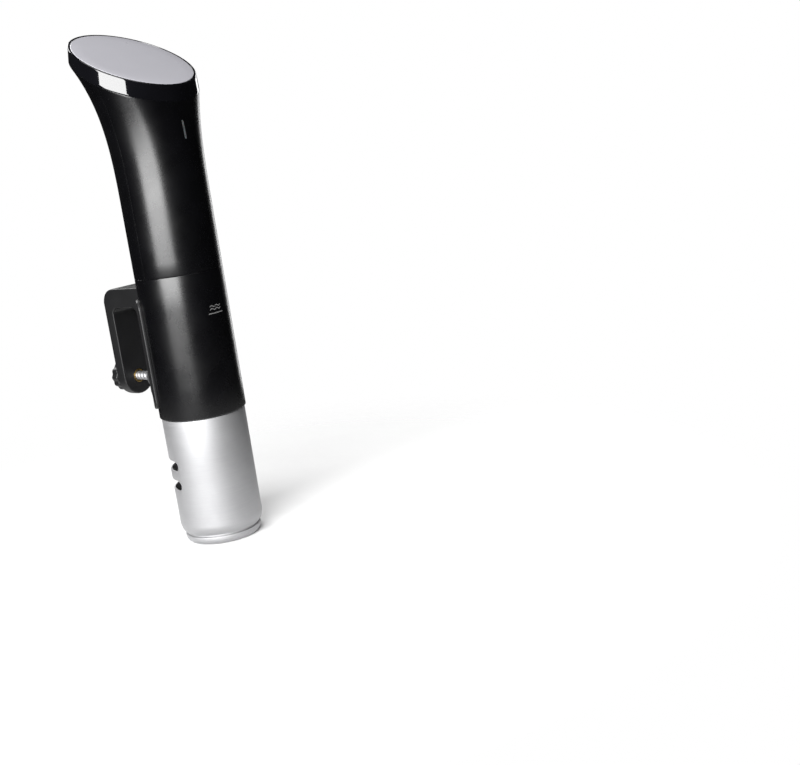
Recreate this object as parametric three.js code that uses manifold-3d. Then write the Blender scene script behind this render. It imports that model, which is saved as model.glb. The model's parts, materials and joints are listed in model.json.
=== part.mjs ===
// Sous vide circulator: a tube that hangs in a pan of water, with a tilted round
// display on top, a clamp at the back, and a heater and an impeller at the bottom.
//
// Millimetres, +Z up. The origin is the centre of the bottom cap's flat underside,
// on the tube's axis. The display's low edge faces -Y and the clamp is at +Y.
// Pieces that touch on the real object keep FIT between them.

import * as THREE from 'three';
import { mergeVertices } from 'three/addons/utils/BufferGeometryUtils.js';
import Module from 'manifold-3d';

const wasm = await Module();
wasm.setup();

// ---------------------------------------------------------------- dimensions

const FIT = 0.3;             // gap kept between touching pieces
const CUT = 5;               // how far a cutting tool runs past the surface it cuts
const ROUND = 36;            // facets round the big turned pieces
const FINE = 48;             // facets round the pieces that show most
const MEDIUM = 24;           // facets round middling turned pieces
const SMALL = 12;            // facets round small turned pieces

// casing
const TUBE_R = 28.2;         // upper body and sleeve, outside
const WALL = 2.6;            // casing wall
const BORE_R = TUBE_R - WALL;
const SEAM_Z = 177;          // joint between the sleeve and the two upper shells
const FLARE_Z = 221;         // the body starts to widen towards the head here
const FLARE_POWER = 3;       // how late the widening comes
const FLARE_STEPS = 9;

// head: a disc that leans towards the user, on a band whose lower edge is parallel to it
const HEAD_R = 39.6;
const HEAD_Y = 7.6;          // centre of the display's face
const HEAD_Z = 311.2;
const HEAD_TILT = THREE.MathUtils.degToRad(30.3);
const BAND_R = 40.4;         // the gloss band's lower edge
const BAND_DROP = 8.64;      // how far that edge lies under the face, square to it
const BAND_LEAN = 4.24;      // and how far it is shifted towards the head's low side
const BEZEL_WALL = 3;
const LENS_R = 38.3;
const LENS_T = 1.8;
const LENS_DRAFT = 0.9;      // the lens is this much smaller in radius underneath
const SHELF_R = 35.2;        // inner edge of the shelf that carries the lens
const SHELF_Z = -2.7;        // in the head's frame, where the face is z = 0
const SHELF_T = 1.8;
const GASKET_T = 0.4;
const BOARD_T = 1.6;
const DISPLAY_BOARD_R = 34;
const DISPLAY_BOARD_Y = -3.3;
const DISPLAY_BOARD_Z = -7.6;

// status light on the front centre line
const SLIT_Z = 258.5;
const SLIT_H = 11.5;
const SLIT_W = 1.6;

// sleeve and its joints
const SLEEVE_Z = 85.3;
const SPIGOT_TOP_Z = 184;
const SPIGOT_R = BORE_R - FIT;
const SPIGOT_BORE_R = 21.8;
const RING_GROOVE_DEPTH = 1.9;
const RING_R = 0.8;          // seal ring, half its thickness

// bulkhead between the dry motor space and the water
const BULKHEAD_Z = 76;
const BULKHEAD_FLOOR_T = 8;
const BULKHEAD_TOP_Z = 97;
const BULKHEAD_BORE_R = 20;
const BULKHEAD_LAND_R = 25.9;
const SHAFT_HOLE_R = 5;

// skirt and bottom cap
const SKIRT_R = 27.2;
const SKIRT_WALL = 1;
const SKIRT_Z = 7.2;
const SKIRT_TOP_Z = 84.7;
const SKIRT_END_H = 6.5;     // the skirt is drawn in over this height at its lower end
const SKIRT_END_R = 12;      // along an arc of this radius
const OUTLET_W = 31;         // slots with round ends
const OUTLET_H = 6.4;
const OUTLET_HEIGHTS = [41, 54.2];
const OUTLET_ANGLE = THREE.MathUtils.degToRad(138.6);
const CAP_R = 25;
const CAP_H = 5.8;
const CAP_FLOOR_T = 2.4;
const CAP_WALL = 2;
const CAP_EDGE_R = 4;
const CAP_SPIGOT_R = 24.1;
const CAP_SPIGOT_TOP_Z = 15;
const INLET_COUNT = 12;
const INLET_R0 = 9;
const INLET_R1 = 20;
const INLET_W = 3;

// rotor: shaft, motor rotor, fan and impeller
const SHAFT_R = 1.5;
const SHAFT_Z = 5.5;
const SHAFT_TOP_Z = 147.5;
const SHAFT_BORE_R = SHAFT_R + FIT;
const IMPELLER_R = 19;
const IMPELLER_Z = 5.8;
const IMPELLER_BLADE_H = 7;
const IMPELLER_DISC_T = 1.4;
const IMPELLER_BLADES = 6;
const HUB_R = 4.6;
const FAN_R = 18.5;
const FAN_Z = 140.5;
const FAN_H = 6;
const FAN_BLADES = 7;
const FAN_PITCH = THREE.MathUtils.degToRad(38);

// motor
const MOUNT_T = 2;
const MOUNT_Z = BULKHEAD_TOP_Z + FIT;
const CAN_R = 14;
const CAN_WALL = 1;
const CAN_Z = MOUNT_Z + MOUNT_T + FIT;
const CAN_H = 38;
const CAN_END_T = 3;
const BEARING_R = 5.5;
const ROTOR_R = 10.6;
const STATOR_R0 = 11;
const ROTOR_CLEAR = 4;       // between an end plate and the rotor
const MOTOR_SCREW_X = 9.5;

// heater coil
const HEATER_TUBE_R = 2.8;
const HEATER_COIL_R = 15.8;
const HEATER_TURNS = 3;
const HEATER_PITCH = 11;
const HEATER_LOW_Z = 30;
const HEATER_LEG_R = 9.6;
const HEATER_TOP_Z = 91;
const HEATER_SIDES = 6;
const HEATER_STEPS = 72;

// probes in the water
const PROBE_CIRCLE_R = 21;
const TEMPERATURE_PROBE = { radius: 1.75, angle: -60, low: 24 };
const LEVEL_PROBE = { radius: 1.4, angle: -120, low: 58 };
const PROBE_TOP_Z = 92;

// clamp: an inverted U behind the sleeve, with a thumb screw through its outer leg
const CLAMP_W = 25;
const CLAMP_TOP_Z = 169.6;
const CLAMP_ARM_T = 13;
const CLAMP_LEG_Y0 = 57.5;
const CLAMP_LEG_Y1 = 65.3;
const CLAMP_CORNER_R = 10;
const CLAMP_THROAT_R = 4;
const CLAMP_EDGE = 2.2;      // rounding of the bracket's long edges
const SADDLE_Z = 92;
const SADDLE_Y = 33.8;
const SADDLE_CORNER_R = 8;
const WING_T = 1.8;          // the saddle's thin wings, which wrap the sleeve
const WING_TOP_Z = 163;
const WING_SPREAD = THREE.MathUtils.degToRad(67);
const SCREW_Z = 108;         // thumb screw axis, also the centre of the leg's round end
const SCREW_R = 3;
const SCREW_BORE_R = SCREW_R + FIT;
const NUT_R = 4.7;
const GRIP_W = 18;
const GRIP_H = 18;
const GRIP_T = 1.6;
const GRIP_PROUD = 1;
const GRIP_RIBS = 5;
const PAD_Y = 38.4;          // pad's face, with a 3.6 mm pan wall gripped
const PAD_T = 4;
const PAD_R = 8;
const PAD_SOCKET_DEPTH = 2.4;
const KNOB_Y = 67.7;
const KNOB_T = 7;
const KNOB_R = 10.5;
const KNOB_FLUTES = 12;
const KNOB_FLUTE_DEPTH = 0.7;
const KNOB_SOCKET_DEPTH = 4.2;

// fasteners
const FASTENER_R = 1.45;
const FASTENER_HEAD_R = 3;
const FASTENER_HEAD_T = 2.2;
const FASTENER_KEY_R = 1.5;
const FASTENER_KEY_DEPTH = 1.2;
const SHELL_SCREW_HEIGHTS = { lower: 191, upper: 238 };
const SHELL_BOSS_R = 4.2;
const SHELL_BOSS_GAP = 2;    // each boss stops this far from the parting plane
const SHELL_HEAD_Y = 24.4;   // seat of the screw heads
const SHELL_SCREW_TIP_Y = -12;
const BRACKET_SCREW_HEIGHTS = { lower: 125, upper: 147 };
const BRACKET_SCREW_TIP_Y = 24;

// electronics
const MAIN_BOARD = { x: 9, y: 40, z0: 198, z1: 262 };
const GLAND_Z = 262;
const GLAND_Y = 33;
const GLAND_BOSS_R = 9;
const GLAND_R = 5.2;
const GLAND_LIP_R = 7;
const GLAND_LIP_T = 2;
const GLAND_CORD_R = 3.6;
const GLAND_CORD_DEPTH = 3.8;

// ----------------------------------------------------------------- materials

function finish(color, roughness, metalness) {
  return { color, roughness, metalness };
}

const SATIN_BLACK = finish(0x1c1d1f, 0.45, 0);
const GLOSS_BLACK = finish(0x0a0a0c, 0.08, 0);
const MATT_BLACK = finish(0x232426, 0.7, 0);
const RUBBER = finish(0x17181a, 0.9, 0);
const SATIN_GREY = finish(0xb8b7bd, 0.35, 0);
const CLEAR_WHITE = finish(0xe9edf2, 0.25, 0);
const STEEL = finish(0xb9bcc0, 0.32, 1);
const BRASS = finish(0xb8954f, 0.35, 1);
const ALUMINIUM = finish(0xaeb2b6, 0.4, 1);
const BOARD_GREEN = finish(0x1d5a3a, 0.5, 0);
const NATURAL_PLASTIC = finish(0xd8d6cd, 0.5, 0);
const DARK_PLASTIC = finish(0x2d2f33, 0.55, 0);
const RELAY_BLUE = finish(0x2a4f8c, 0.4, 0);
const FERRITE = finish(0x3b3c40, 0.6, 0.2);

// --------------------------------------------------------------------- tools

/** Turns a closed three.js geometry into a solid that can be cut and joined. */
function solid(geometry) {
  const bare = new THREE.BufferGeometry();
  bare.setAttribute('position', geometry.getAttribute('position').clone());
  if (geometry.index) {
    bare.setIndex(geometry.index.clone());
  }
  const merged = mergeVertices(bare, 1e-4);
  const index = merged.index.array;
  const kept = [];
  for (let i = 0; i < index.length; i += 3) {
    const [a, b, c] = index.slice(i, i + 3);
    if (a !== b && b !== c && c !== a) {
      kept.push(a, b, c);
    }
  }
  return new wasm.Manifold(new wasm.Mesh({
    numProp: 3,
    vertProperties: new Float32Array(merged.getAttribute('position').array),
    triVerts: new Uint32Array(kept),
  }));
}

/** Turns a solid back into a three.js geometry. */
function geometryOf(body) {
  const mesh = body.getMesh();
  const geometry = new THREE.BufferGeometry();
  geometry.setAttribute('position', new THREE.BufferAttribute(mesh.vertProperties, 3));
  geometry.setIndex(new THREE.BufferAttribute(mesh.triVerts, 1));
  geometry.computeVertexNormals();
  return geometry;
}

/** Names a solid and gives it its finish. */
function piece(name, body, look) {
  const mesh = new THREE.Mesh(geometryOf(body), new THREE.MeshStandardMaterial(look));
  mesh.name = name;
  return mesh;
}

/** A solid turned about Z from [radius, height] points, outer side going up. */
function turned(profile, facets = ROUND) {
  const points = profile.map(([radius, height]) => new THREE.Vector2(radius, height));
  const onAxis = profile[0][0] === 0 && profile.at(-1)[0] === 0;
  if (!onAxis) {
    points.push(points[0].clone());
  }
  return solid(new THREE.LatheGeometry(points, facets).rotateX(Math.PI / 2));
}

/** A plain disc or rod along Z. */
function rod(radius, low, high, x = 0, y = 0, facets = SMALL) {
  const geometry = new THREE.CylinderGeometry(radius, radius, high - low, facets);
  return solid(geometry.rotateX(Math.PI / 2).translate(x, y, (low + high) / 2));
}

/** A plain rod along Y. */
function rodAlongY(radius, near, far, x, z, facets = SMALL) {
  const geometry = new THREE.CylinderGeometry(radius, radius, far - near, facets);
  return solid(geometry.translate(x, (near + far) / 2, z));
}

/** A ring between two radii, along Z. */
function ring(inner, outer, low, high, facets = ROUND) {
  return turned([[inner, low], [outer, low], [outer, high], [inner, high]], facets);
}

/** A seal ring of round section. */
function sealRing(radius, height, half) {
  return solid(new THREE.TorusGeometry(radius, half, 6, ROUND).translate(0, 0, height));
}

/** A box between two corners. */
function block(low, high) {
  const size = high.map((value, axis) => value - low[axis]);
  const middle = high.map((value, axis) => (value + low[axis]) / 2);
  return solid(new THREE.BoxGeometry(...size).translate(...middle));
}

/** Points of an arc, for a profile. */
function arc(x, y, radius, from, to, steps) {
  const points = [];
  for (let i = 0; i <= steps; i += 1) {
    const angle = THREE.MathUtils.degToRad(from + (to - from) * i / steps);
    points.push([x + radius * Math.cos(angle), y + radius * Math.sin(angle)]);
  }
  return points;
}

function joined(bodies) {
  return bodies.reduce((sum, body) => sum.add(body));
}

function cut(body, tools) {
  return tools.reduce((rest, tool) => rest.subtract(tool), body);
}

/** A closed solid through rings of points that all run counter-clockwise from above. */
function loft(rings) {
  const count = rings[0].length;
  const positions = [];
  const index = [];
  for (const points of rings) {
    points.forEach((point) => positions.push(point.x, point.y, point.z));
  }
  for (let level = 0; level < rings.length - 1; level += 1) {
    for (let i = 0; i < count; i += 1) {
      const a = level * count + i;
      const b = level * count + (i + 1) % count;
      index.push(a, b, b + count, a, b + count, a + count);
    }
  }
  for (const end of [0, rings.length - 1]) {
    const centre = positions.length / 3;
    const middle = rings[end].reduce((sum, p) => sum.add(p), new THREE.Vector3());
    middle.divideScalar(count);
    positions.push(middle.x, middle.y, middle.z);
    for (let i = 0; i < count; i += 1) {
      const a = end * count + i;
      const b = end * count + (i + 1) % count;
      index.push(...(end === 0 ? [centre, b, a] : [centre, a, b]));
    }
  }
  const geometry = new THREE.BufferGeometry();
  geometry.setAttribute('position', new THREE.Float32BufferAttribute(positions, 3));
  geometry.setIndex(index);
  return solid(geometry);
}

/** A fastener along Z with its head up, seat at z = 0 and a six-sided key recess. */
function fastener(length, shankRadius = FASTENER_R, headRadius = FASTENER_HEAD_R) {
  const headTop = FASTENER_HEAD_T;
  const body = turned([
    [0, -length],
    [shankRadius * 0.6, -length],
    [shankRadius, -length + 1.2],
    [shankRadius, 0],
    [headRadius, 0],
    [headRadius, headTop * 0.6],
    [headRadius * 0.7, headTop],
    [0, headTop],
  ], SMALL);
  const keyRadius = FASTENER_KEY_R * headRadius / FASTENER_HEAD_R;
  return body.subtract(rod(keyRadius, headTop - FASTENER_KEY_DEPTH, headTop + CUT, 0, 0, 6));
}

// ---------------------------------------------------------------------- head

/**
 * A point of the head's side, inset from its surface, in the head's own frame.
 * The share runs from 0 at the face to 1 at the band's lower edge.
 */
function bandPoint(inset, angle, share) {
  const radius = THREE.MathUtils.lerp(HEAD_R, BAND_R, share) - inset;
  return new THREE.Vector3(
    radius * Math.cos(angle),
    radius * Math.sin(angle) - BAND_LEAN * share,
    -BAND_DROP * share,
  );
}

/** The same point in the object's frame. */
function headPoint(inset, angle, share) {
  const point = bandPoint(inset, angle, share);
  return point.applyAxisAngle(new THREE.Vector3(1, 0, 0), HEAD_TILT).add(
    new THREE.Vector3(0, HEAD_Y, HEAD_Z),
  );
}

function anglesRound(facets) {
  return Array.from({ length: facets }, (_, i) => 2 * Math.PI * i / facets);
}

/** A solid that follows the head's side, from [inset, share] pairs, low end first. */
function bandLoft(pairs, facets) {
  const angles = anglesRound(facets);
  return loft(pairs.map(([inset, share]) => angles.map(
    (angle) => bandPoint(inset, angle, share),
  )));
}

function displayLens() {
  const edge = 0.4;
  return turned([
    [0, -LENS_T],
    [LENS_R - LENS_DRAFT, -LENS_T],
    [LENS_R, -edge],
    [LENS_R - edge, 0],
    [0, 0],
  ], FINE);
}

function displayGasket() {
  const top = -LENS_T - FIT;
  return ring(SHELF_R + 0.4, LENS_R - LENS_DRAFT - 0.2, top - GASKET_T, top);
}

function bezelRing() {
  const edge = 0.4 / BAND_DROP;
  const low = 1 - FIT / BAND_DROP;
  const outside = bandLoft([[0.4, low], [0, low - edge], [0, 2 * edge], [0.4, 0]], FINE);
  const pocketR = LENS_R + FIT;
  const shelfLow = SHELF_Z - SHELF_T;
  const pocket = turned([
    [0, SHELF_Z],
    [pocketR - LENS_DRAFT, SHELF_Z],
    [pocketR - LENS_DRAFT, -LENS_T],
    [pocketR, -edge],
    [pocketR, CUT],
    [0, CUT],
  ], FINE);
  const hole = rod(SHELF_R, -2 * BAND_DROP, CUT, 0, 0, FINE);
  const cavity = bandLoft(
    [[BEZEL_WALL, 1 + CUT / BAND_DROP], [BEZEL_WALL, -shelfLow / BAND_DROP]],
    FINE,
  );
  return cut(outside, [pocket, hole, cavity]);
}

function displayBoard() {
  const body = rod(
    DISPLAY_BOARD_R,
    DISPLAY_BOARD_Z,
    DISPLAY_BOARD_Z + BOARD_T,
    0,
    DISPLAY_BOARD_Y,
    ROUND,
  );
  const holeCircle = DISPLAY_BOARD_R - 4;
  const holes = [90, 210, 330].map((degrees) => {
    const angle = THREE.MathUtils.degToRad(degrees);
    const x = holeCircle * Math.cos(angle);
    const y = DISPLAY_BOARD_Y + holeCircle * Math.sin(angle);
    return rod(1.6, DISPLAY_BOARD_Z - CUT, DISPLAY_BOARD_Z + CUT, x, y);
  });
  return cut(body, holes);
}

function displayModule() {
  const low = DISPLAY_BOARD_Z + BOARD_T + FIT;
  const windowDepth = 0.6;
  const top = -LENS_T - 0.6;
  const body = block([-19, -9, low], [19, 9, top]);
  const digits = [-13.5, -4.5, 4.5, 13.5].map(
    (x) => block([x - 3.5, -6, top - windowDepth], [x + 3.5, 6, top + CUT]),
  );
  return cut(body, digits);
}

function buzzer() {
  const top = DISPLAY_BOARD_Z - FIT;
  const body = rod(6, top - 5, top, 14, 12);
  return body.subtract(rod(1.2, top - 5 - CUT, top - 3, 14, 12));
}

function headGroup() {
  const group = new THREE.Group();
  group.position.set(0, HEAD_Y, HEAD_Z);
  group.rotation.x = HEAD_TILT;
  group.add(piece('display_lens', displayLens(), SATIN_GREY));
  group.add(piece('display_gasket', displayGasket(), RUBBER));
  group.add(piece('bezel_ring', bezelRing(), GLOSS_BLACK));
  group.add(piece('display_board', displayBoard(), BOARD_GREEN));
  group.add(piece('display_module', displayModule(), DARK_PLASTIC));
  group.add(piece('buzzer', buzzer(), DARK_PLASTIC));
  return group;
}

// ---------------------------------------------------------------- upper body

/** The flared body, inset from its outer surface and run past its two ends. */
function flaredBody(inset, past) {
  const angles = anglesRound(ROUND);
  const tube = (height) => angles.map((angle) => new THREE.Vector3(
    (TUBE_R - inset) * Math.cos(angle),
    (TUBE_R - inset) * Math.sin(angle),
    height,
  ));
  const levels = [tube(SEAM_Z + FIT - past)];
  const start = tube(FLARE_Z);
  const end = angles.map((angle) => headPoint(inset, angle, 1));
  for (let step = 0; step <= FLARE_STEPS; step += 1) {
    const rise = step / FLARE_STEPS;
    const spread = rise ** FLARE_POWER;
    levels.push(start.map((from, i) => new THREE.Vector3(
      THREE.MathUtils.lerp(from.x, end[i].x, spread),
      THREE.MathUtils.lerp(from.y, end[i].y, spread),
      THREE.MathUtils.lerp(from.z, end[i].z, rise),
    )));
  }
  if (past > 0) {
    levels.push(angles.map((angle) => headPoint(inset, angle, 1 - past / BAND_DROP)));
  }
  return loft(levels);
}

function shellWall() {
  return flaredBody(0, 0).subtract(flaredBody(WALL, CUT));
}

function halfSpace(side) {
  const reach = 200;
  const near = side * FIT / 2;
  const far = side * reach;
  return block([-reach, Math.min(near, far), 0], [reach, Math.max(near, far), 2 * reach]);
}

function slitTool(width, height) {
  const middle = SLIT_Z + SLIT_H / 2;
  const low = middle - height / 2;
  return block([-width / 2, -TUBE_R - CUT, low], [width / 2, -TUBE_R / 2, low + height]);
}

function frontShell(wall) {
  const bosses = Object.values(SHELL_SCREW_HEIGHTS).map(
    (z) => rodAlongY(SHELL_BOSS_R, 1 - TUBE_R, -SHELL_BOSS_GAP, 0, z),
  );
  const holes = Object.values(SHELL_SCREW_HEIGHTS).map(
    (z) => rodAlongY(FASTENER_R + FIT, SHELL_SCREW_TIP_Y - 2, CUT, 0, z),
  );
  const body = joined([wall.intersect(halfSpace(-1)), ...bosses]);
  return cut(body, [...holes, slitTool(SLIT_W, SLIT_H)]);
}

function rearShell(wall) {
  const heights = Object.values(SHELL_SCREW_HEIGHTS);
  const bosses = heights.map(
    (z) => rodAlongY(SHELL_BOSS_R, SHELL_BOSS_GAP, TUBE_R - 1, 0, z),
  );
  const glandBoss = rodAlongY(GLAND_BOSS_R, BORE_R + 1, GLAND_Y, 0, GLAND_Z, MEDIUM);
  const holes = heights.map((z) => rodAlongY(FASTENER_R + FIT, 0, TUBE_R + CUT, 0, z));
  const sinks = heights.map(
    (z) => rodAlongY(FASTENER_HEAD_R + FIT, SHELL_HEAD_Y - FIT, TUBE_R + CUT, 0, z),
  );
  const glandHole = rodAlongY(GLAND_R + FIT, 0, GLAND_Y + CUT, 0, GLAND_Z);
  const body = joined([wall.intersect(halfSpace(1)), ...bosses, glandBoss]);
  return cut(body, [...holes, ...sinks, glandHole]);
}

function statusLightPipe(wall) {
  return wall.intersect(slitTool(SLIT_W - 2 * FIT, SLIT_H - 2 * FIT));
}

function shellScrew(name, height) {
  const mesh = piece(name, fastener(SHELL_HEAD_Y - SHELL_SCREW_TIP_Y), STEEL);
  mesh.position.set(0, SHELL_HEAD_Y, height);
  mesh.rotation.x = -Math.PI / 2;
  return mesh;
}

function cordGland() {
  const body = turned([
    [0, -9],
    [GLAND_R, -9],
    [GLAND_R, FIT],
    [GLAND_LIP_R, FIT],
    [GLAND_LIP_R, FIT + GLAND_LIP_T * 0.6],
    [GLAND_LIP_R - 0.8, FIT + GLAND_LIP_T],
    [0, FIT + GLAND_LIP_T],
  ], SMALL);
  const mouth = FIT + GLAND_LIP_T;
  const mesh = piece(
    'cord_gland',
    body.subtract(rod(GLAND_CORD_R, mouth - GLAND_CORD_DEPTH, mouth + CUT)),
    RUBBER,
  );
  mesh.position.set(0, GLAND_Y, GLAND_Z);
  mesh.rotation.x = -Math.PI / 2;
  return mesh;
}

function upperBodyGroup() {
  const group = new THREE.Group();
  const wall = shellWall();
  group.add(piece('front_shell', frontShell(wall), SATIN_BLACK));
  group.add(piece('rear_shell', rearShell(wall), SATIN_BLACK));
  group.add(piece('status_light_pipe', statusLightPipe(wall), CLEAR_WHITE));
  for (const [place, height] of Object.entries(SHELL_SCREW_HEIGHTS)) {
    group.add(shellScrew(`shell_screw_${place}`, height));
  }
  group.add(cordGland());
  return group;
}

// --------------------------------------------------------------- electronics

function mainBoard() {
  const { x, y, z0, z1 } = MAIN_BOARD;
  return block([x, -y / 2, z0], [x + BOARD_T, y / 2, z1]);
}

function heatSink() {
  const near = MAIN_BOARD.x + BOARD_T + FIT;
  const finCount = 6;
  const finGap = 4.4;
  const back = block([near, -12, 200], [near + 2, 12, 232]);
  const fins = Array.from({ length: finCount }, (_, i) => {
    const y = (i - (finCount - 1) / 2) * finGap;
    return block([near + 1, y - 0.7, 200], [near + 9, y + 0.7, 232]);
  });
  return joined([back, ...fins]);
}

function transformer() {
  const face = MAIN_BOARD.x - FIT;
  const core = block([face - 14, -15, 200], [face, 3, 206]);
  const winding = block([face - 12, -13, 205], [face - 1, 1, 214]);
  const yoke = block([face - 14, -15, 213], [face, 3, 219]);
  return joined([core, winding, yoke]);
}

function filterCapacitor() {
  const face = MAIN_BOARD.x - FIT;
  const geometry = new THREE.CylinderGeometry(4.8, 4.8, 15, SMALL).rotateZ(Math.PI / 2);
  return solid(geometry.translate(face - 7.5, -9, 226));
}

function powerRelay() {
  const face = MAIN_BOARD.x - FIT;
  return block([face - 15, 5, 200], [face, 17, 222]);
}

function electronicsGroup() {
  const group = new THREE.Group();
  group.add(piece('main_board', mainBoard(), BOARD_GREEN));
  group.add(piece('heat_sink', heatSink(), ALUMINIUM));
  group.add(piece('transformer', transformer(), FERRITE));
  group.add(piece('filter_capacitor', filterCapacitor(), DARK_PLASTIC));
  group.add(piece('power_relay', powerRelay(), RELAY_BLUE));
  return group;
}

// -------------------------------------------------------------------- sleeve

const SLEEVE_GROOVE_Z = (SEAM_Z + SPIGOT_TOP_Z) / 2;
const BULKHEAD_GROOVE_Z = 91;

function groove(outer, height) {
  const half = RING_R + FIT;
  return ring(outer - RING_GROOVE_DEPTH, outer + CUT, height - half, height + half);
}

function lowerSleeve() {
  const body = turned([
    [BORE_R, SLEEVE_Z],
    [TUBE_R - 0.3, SLEEVE_Z],
    [TUBE_R, SLEEVE_Z + 0.3],
    [TUBE_R, SEAM_Z - FIT],
    [SPIGOT_R, SEAM_Z - FIT],
    [SPIGOT_R, SPIGOT_TOP_Z],
    [SPIGOT_BORE_R, SPIGOT_TOP_Z],
    [SPIGOT_BORE_R, SEAM_Z - 6],
    [BORE_R, SEAM_Z - 10],
  ]);
  const screwHoles = Object.values(BRACKET_SCREW_HEIGHTS).map(
    (z) => rodAlongY(FASTENER_R + FIT, 0, TUBE_R + CUT, 0, z),
  );
  return cut(body, [groove(SPIGOT_R, SLEEVE_GROOVE_Z), ...screwHoles]);
}

function polar(radius, degrees) {
  const angle = THREE.MathUtils.degToRad(degrees);
  return [radius * Math.cos(angle), radius * Math.sin(angle)];
}

function bulkhead() {
  const floorTop = BULKHEAD_Z + BULKHEAD_FLOOR_T;
  const plugR = BORE_R - FIT;
  const body = turned([
    [0, BULKHEAD_Z],
    [BULKHEAD_LAND_R, BULKHEAD_Z],
    [BULKHEAD_LAND_R, SLEEVE_Z - FIT],
    [plugR, SLEEVE_Z - FIT],
    [plugR, BULKHEAD_TOP_Z],
    [BULKHEAD_BORE_R, BULKHEAD_TOP_Z],
    [BULKHEAD_BORE_R, floorTop],
    [0, floorTop],
  ]);
  const low = BULKHEAD_Z - CUT;
  const high = BULKHEAD_TOP_Z + CUT;
  const probeHoles = [TEMPERATURE_PROBE, LEVEL_PROBE].map(({ radius, angle }) => {
    const [x, y] = polar(PROBE_CIRCLE_R, angle);
    return rod(radius + FIT, low, high, x, y);
  });
  const heaterHoles = [HEATER_COIL_R, HEATER_LEG_R].map(
    (radius) => rod(HEATER_TUBE_R + FIT, low, high, radius, 0),
  );
  return cut(body, [
    rod(SHAFT_HOLE_R, low, high),
    ...probeHoles,
    ...heaterHoles,
    groove(plugR, BULKHEAD_GROOVE_Z),
  ]);
}

function shaftBush() {
  return ring(SHAFT_BORE_R, SHAFT_HOLE_R - FIT, BULKHEAD_Z, BULKHEAD_Z + 4, SMALL);
}

function shaftSeal() {
  const low = BULKHEAD_Z + 4 + FIT;
  const high = BULKHEAD_Z + BULKHEAD_FLOOR_T;
  return turned([
    [SHAFT_BORE_R, low],
    [SHAFT_HOLE_R - FIT, low],
    [SHAFT_HOLE_R - FIT, high],
    [SHAFT_BORE_R + 1.4, high],
    [SHAFT_BORE_R + 1.4, low + 2],
  ], SMALL);
}

function sleeveGroup() {
  const group = new THREE.Group();
  const sleeveRing = sealRing(SPIGOT_R - RING_R, SLEEVE_GROOVE_Z, RING_R);
  const bulkheadRing = sealRing(BORE_R - FIT - RING_R, BULKHEAD_GROOVE_Z, RING_R);
  group.add(piece('lower_sleeve', lowerSleeve(), SATIN_BLACK));
  group.add(piece('sleeve_seal_ring', sleeveRing, RUBBER));
  group.add(piece('bulkhead', bulkhead(), DARK_PLASTIC));
  group.add(piece('bulkhead_seal_ring', bulkheadRing, RUBBER));
  group.add(piece('shaft_bush', shaftBush(), NATURAL_PLASTIC));
  group.add(piece('shaft_seal', shaftSeal(), RUBBER));
  return group;
}

// --------------------------------------------------------------------- motor

function motorMount() {
  const low = MOUNT_Z;
  const high = MOUNT_Z + MOUNT_T;
  const plate = rod(BORE_R - FIT, low, high, 0, 0, ROUND);
  const screwHoles = [-1, 1].map(
    (side) => rod(FASTENER_R, low - CUT, high + CUT, side * MOTOR_SCREW_X, 0),
  );
  const wireNotches = [-1, 1].map(
    (side) => block([-4, side * 20 - 3, low - CUT], [4, side * 20 + 3, high + CUT]),
  );
  return cut(plate, [rod(7, low - CUT, high + CUT), ...screwHoles, ...wireNotches]);
}

function motorCan() {
  const top = CAN_Z + CAN_H;
  const inner = CAN_R - CAN_WALL;
  const hole = BEARING_R + FIT;
  const body = turned([
    [hole, CAN_Z],
    [CAN_R, CAN_Z],
    [CAN_R, top - 1],
    [CAN_R - 1, top],
    [hole, top],
    [hole, top - CAN_END_T],
    [inner, top - CAN_END_T],
    [inner, CAN_Z + CAN_END_T],
    [hole, CAN_Z + CAN_END_T],
  ], MEDIUM);
  const screwHoles = [-1, 1].map(
    (side) => rod(FASTENER_R, CAN_Z - CUT, CAN_Z + CUT, side * MOTOR_SCREW_X, 0),
  );
  return cut(body, screwHoles);
}

function bearing(low) {
  const race = 1.2;
  const dish = 0.5;
  return turned([
    [SHAFT_BORE_R, low],
    [SHAFT_BORE_R + race, low],
    [SHAFT_BORE_R + race, low + dish],
    [BEARING_R - race, low + dish],
    [BEARING_R - race, low],
    [BEARING_R, low],
    [BEARING_R, low + CAN_END_T],
    [SHAFT_BORE_R, low + CAN_END_T],
  ], SMALL);
}

function statorRing() {
  const low = CAN_Z + CAN_END_T + ROTOR_CLEAR;
  const high = CAN_Z + CAN_H - CAN_END_T - ROTOR_CLEAR;
  return ring(STATOR_R0, CAN_R - CAN_WALL - FIT, low, high, MEDIUM);
}

function motorRotor() {
  const low = CAN_Z + CAN_END_T + ROTOR_CLEAR;
  const high = CAN_Z + CAN_H - CAN_END_T - ROTOR_CLEAR;
  const slotCount = 5;
  const core = ring(SHAFT_BORE_R, ROTOR_R, low, high, MEDIUM);
  const slots = Array.from({ length: slotCount }, (_, i) => {
    const [x, y] = polar(ROTOR_R, 360 * i / slotCount);
    return rod(2, low - CUT, high + CUT, x, y, 12);
  });
  return cut(core, slots);
}

function motorScrew(name, x) {
  const length = MOUNT_T + FIT + CAN_END_T + FIT;
  const mesh = piece(name, fastener(length, 1.1, 2.2), STEEL);
  mesh.position.set(x, 0, MOUNT_Z - FIT);
  mesh.rotation.x = Math.PI;
  return mesh;
}

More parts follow.
